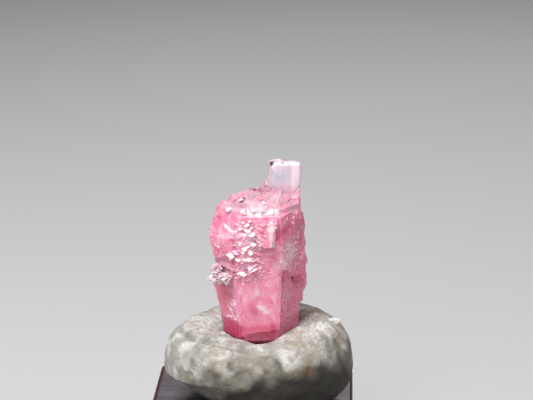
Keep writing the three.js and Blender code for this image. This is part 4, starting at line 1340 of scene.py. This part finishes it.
# The prong: streaks that run up it, a pink blush and white mottling by noise, then the mesh's own masks,
# among them painted shade in its hollow, notch and curl.
def prongFinish():
    f = Finish("palePlate")
    where = f.place((1, 1, 0.3))
    streaks = f.ramp(f.noise(where, 2.6, 4, 0.6), 0.35, 0.65)
    blush = f.ramp(f.noise(f.place((1, 1, 0.6)), 4.5, 4, 0.6), 0.5, 0.72)
    mottle = f.ramp(f.noise(f.place((1, 1, 0.6), 0.3), 8.5, 4, 0.65), 0.46, 0.66)
    body = f.layers(
        plate["blue"],
        (plate["pale"], streaks),
        (plate["blush"], blush, 0.5),
        (plate["white"], mottle, 0.4),
        (plate["cool"], "toneAndShade"),
        (plate["pink"], "gem"),
        (plate["white"], "frostAndHighlight"),
        (plate["hollow"], "ash"),
    )
    f.set(Base_Color=body, Roughness=0.3, IOR=1.65, Transmission_Weight=0.15)
    f.set(Subsurface_Weight=0.5, Subsurface_Scale=0.0004, Subsurface_Radius=plate["radius"])
    f.bump(f.noise(where, 14, 3), 0.3, plate["relief"])
    return f.material


clay = {
    "pale": (0.36, 0.35, 0.32),
    "white": (0.52, 0.515, 0.5),
    "beige": (0.24, 0.19, 0.13),
    "grey": (0.15, 0.15, 0.14),
    # the next colour is painted shade on the darker zones
    "paintedShade": (0.115, 0.108, 0.09),
    "tan": (0.2, 0.18, 0.14),
    "stain": (0.16, 0.085, 0.04),
    # the next colour is painted shade under the bulge
    "underShade": (0.024, 0.022, 0.019),
    "film": (0.62, 0.62, 0.62),
    "upper": (10.9, 11.5),  # heights between which specks and lint get stronger
    "relief": 0.00008,
}


# The putty: white, beige and grey by noise, with specks and lint that are stronger on its upper side. Then
# come the mesh's own masks: painted shade on darker zones, stains, painted shadow in dents and creases,
# painted shade under the bulge, and the chip of film.
def puttyFinish():
    f = Finish("kneadedPutty")
    where = f.place()
    white = f.ramp(f.noise(where, 0.9, 1), 0.4, 0.6)
    beige = f.ramp(f.noise(f.place((1, 1, 1.3), 0.3), 1.2, 2), 0.46, 0.66)
    dirt = f.ramp(f.noise(where, 1.3, 2), 0.5, 0.7)
    share = f.plus(f.times(f.ramp(f.along("Z", where), *clay["upper"]), 0.45), 0.4)
    specks = f.times(f.ramp(f.noise(where, 6, 3, 0.65), 0.52, 0.64), share)
    lint = f.times(f.ramp(f.noise(f.place((1, 1, 1.4), 0.9), 6.5, 3, 0.6), 0.56, 0.68), share)
    # the tint of the painted shade on the darker zones
    wearAndShade = f.mix(f.ramp(f.noise(where, 1.6, 2), 0.38, 0.64), clay["paintedShade"], clay["tan"])
    stained = f.times("stain", f.ramp(f.noise(where, 3.2, 4, 0.7, 0.5), 0.3, 0.62))
    body = f.layers(
        clay["pale"],
        (clay["white"], white),
        (clay["beige"], beige, 0.6),
        (clay["grey"], dirt, 0.42),
        (clay["tan"], specks),
        (clay["film"], lint, 0.8),
        # then painted shade, painted shadow, and painted shade under the bulge
        (wearAndShade, "paintedShade"),
        (clay["stain"], stained),
        (clay["grey"], "shadow", 0.85),
        (clay["underShade"], "underShade", 0.93),
        (clay["film"], "shine"),
    )
    f.set(Base_Color=body, IOR=1.42, Subsurface_Weight=0.12, Subsurface_Scale=0.0005)
    rough = f.plus(f.times("underShade", 0.3), 0.5)
    f.set(Roughness=f.maths("SUBTRACT", rough, f.times("shine", 0.38)))
    f.bump(f.plus(f.noise(where, 5, 2, 0.5), f.times(f.noise(where, 1.8, 2), 2.0)), 0.4, clay["relief"])
    return f.material


plastic = {
    "dark": (0.035, 0.026, 0.036),
    "pale": (0.078, 0.068, 0.082),
    "brown": (0.046, 0.017, 0.015),
    "wearAndShade": (0.075, 0.04, 0.036),
    "sawTurn": 0.12,  # radians that the saw's lines are turned on the top
    "bands": 1.6,  # per mm
    "lines": 6.5,
    "rim": (6.02, 6.08),  # how far right or left the brown of the edges begins, in mm
    "top": (6.2, 6.3),  # and how far up the sides reach
    "relief": 0.00003,
}


# The block: noise drawn out along the saw's lines for the top, brown rubbed paler for the sides and the rim.
def blockFinish():
    f = Finish("smokyPlastic")
    sawn = f.place((0.05, 1, 0.05), plastic["sawTurn"])
    bands, lines = f.noise(sawn, plastic["bands"], 2, 0.5, 0.2), f.noise(sawn, plastic["lines"], 3, 0.6)
    lines = f.plus(f.times(bands, 0.7), f.times(lines, 0.3))
    rim = f.ramp(f.maths("ABSOLUTE", f.along("X", f.place()), 0), *plastic["rim"])
    top = f.layers(plastic["dark"], (plastic["pale"], f.ramp(lines, 0.38, 0.62)), (plastic["brown"], rim))
    rubbed = f.ramp(f.noise(f.place((1, 1, 0.12)), 2.4, 4, 0.6), 0.4, 0.7)
    sides = f.layers(plastic["brown"], (plastic["wearAndShade"], rubbed, 0.8))
    body = f.mix(f.ramp(f.along("Z", f.place()), *plastic["top"]), sides, top)
    scuffs = f.noise(f.place((1, 1, 0.3), 0.5), 5, 4, 0.65)
    f.set(Base_Color=body, Roughness=f.plus(f.times(scuffs, 0.3), 0.17), IOR=1.5)
    f.bump(f.plus(lines, f.times(scuffs, 0.4)), 0.3, plastic["relief"])
    return f.material


finishes = {
    crystalPiece: stoneFinish,
    prongPiece: prongFinish,
    tuftPiece: tuftFinish,
    puttyPiece: puttyFinish,
    blockPiece: blockFinish,
}
for piece, finish in finishes.items():
    piece.data.materials.append(finish())
print("finishes are on")
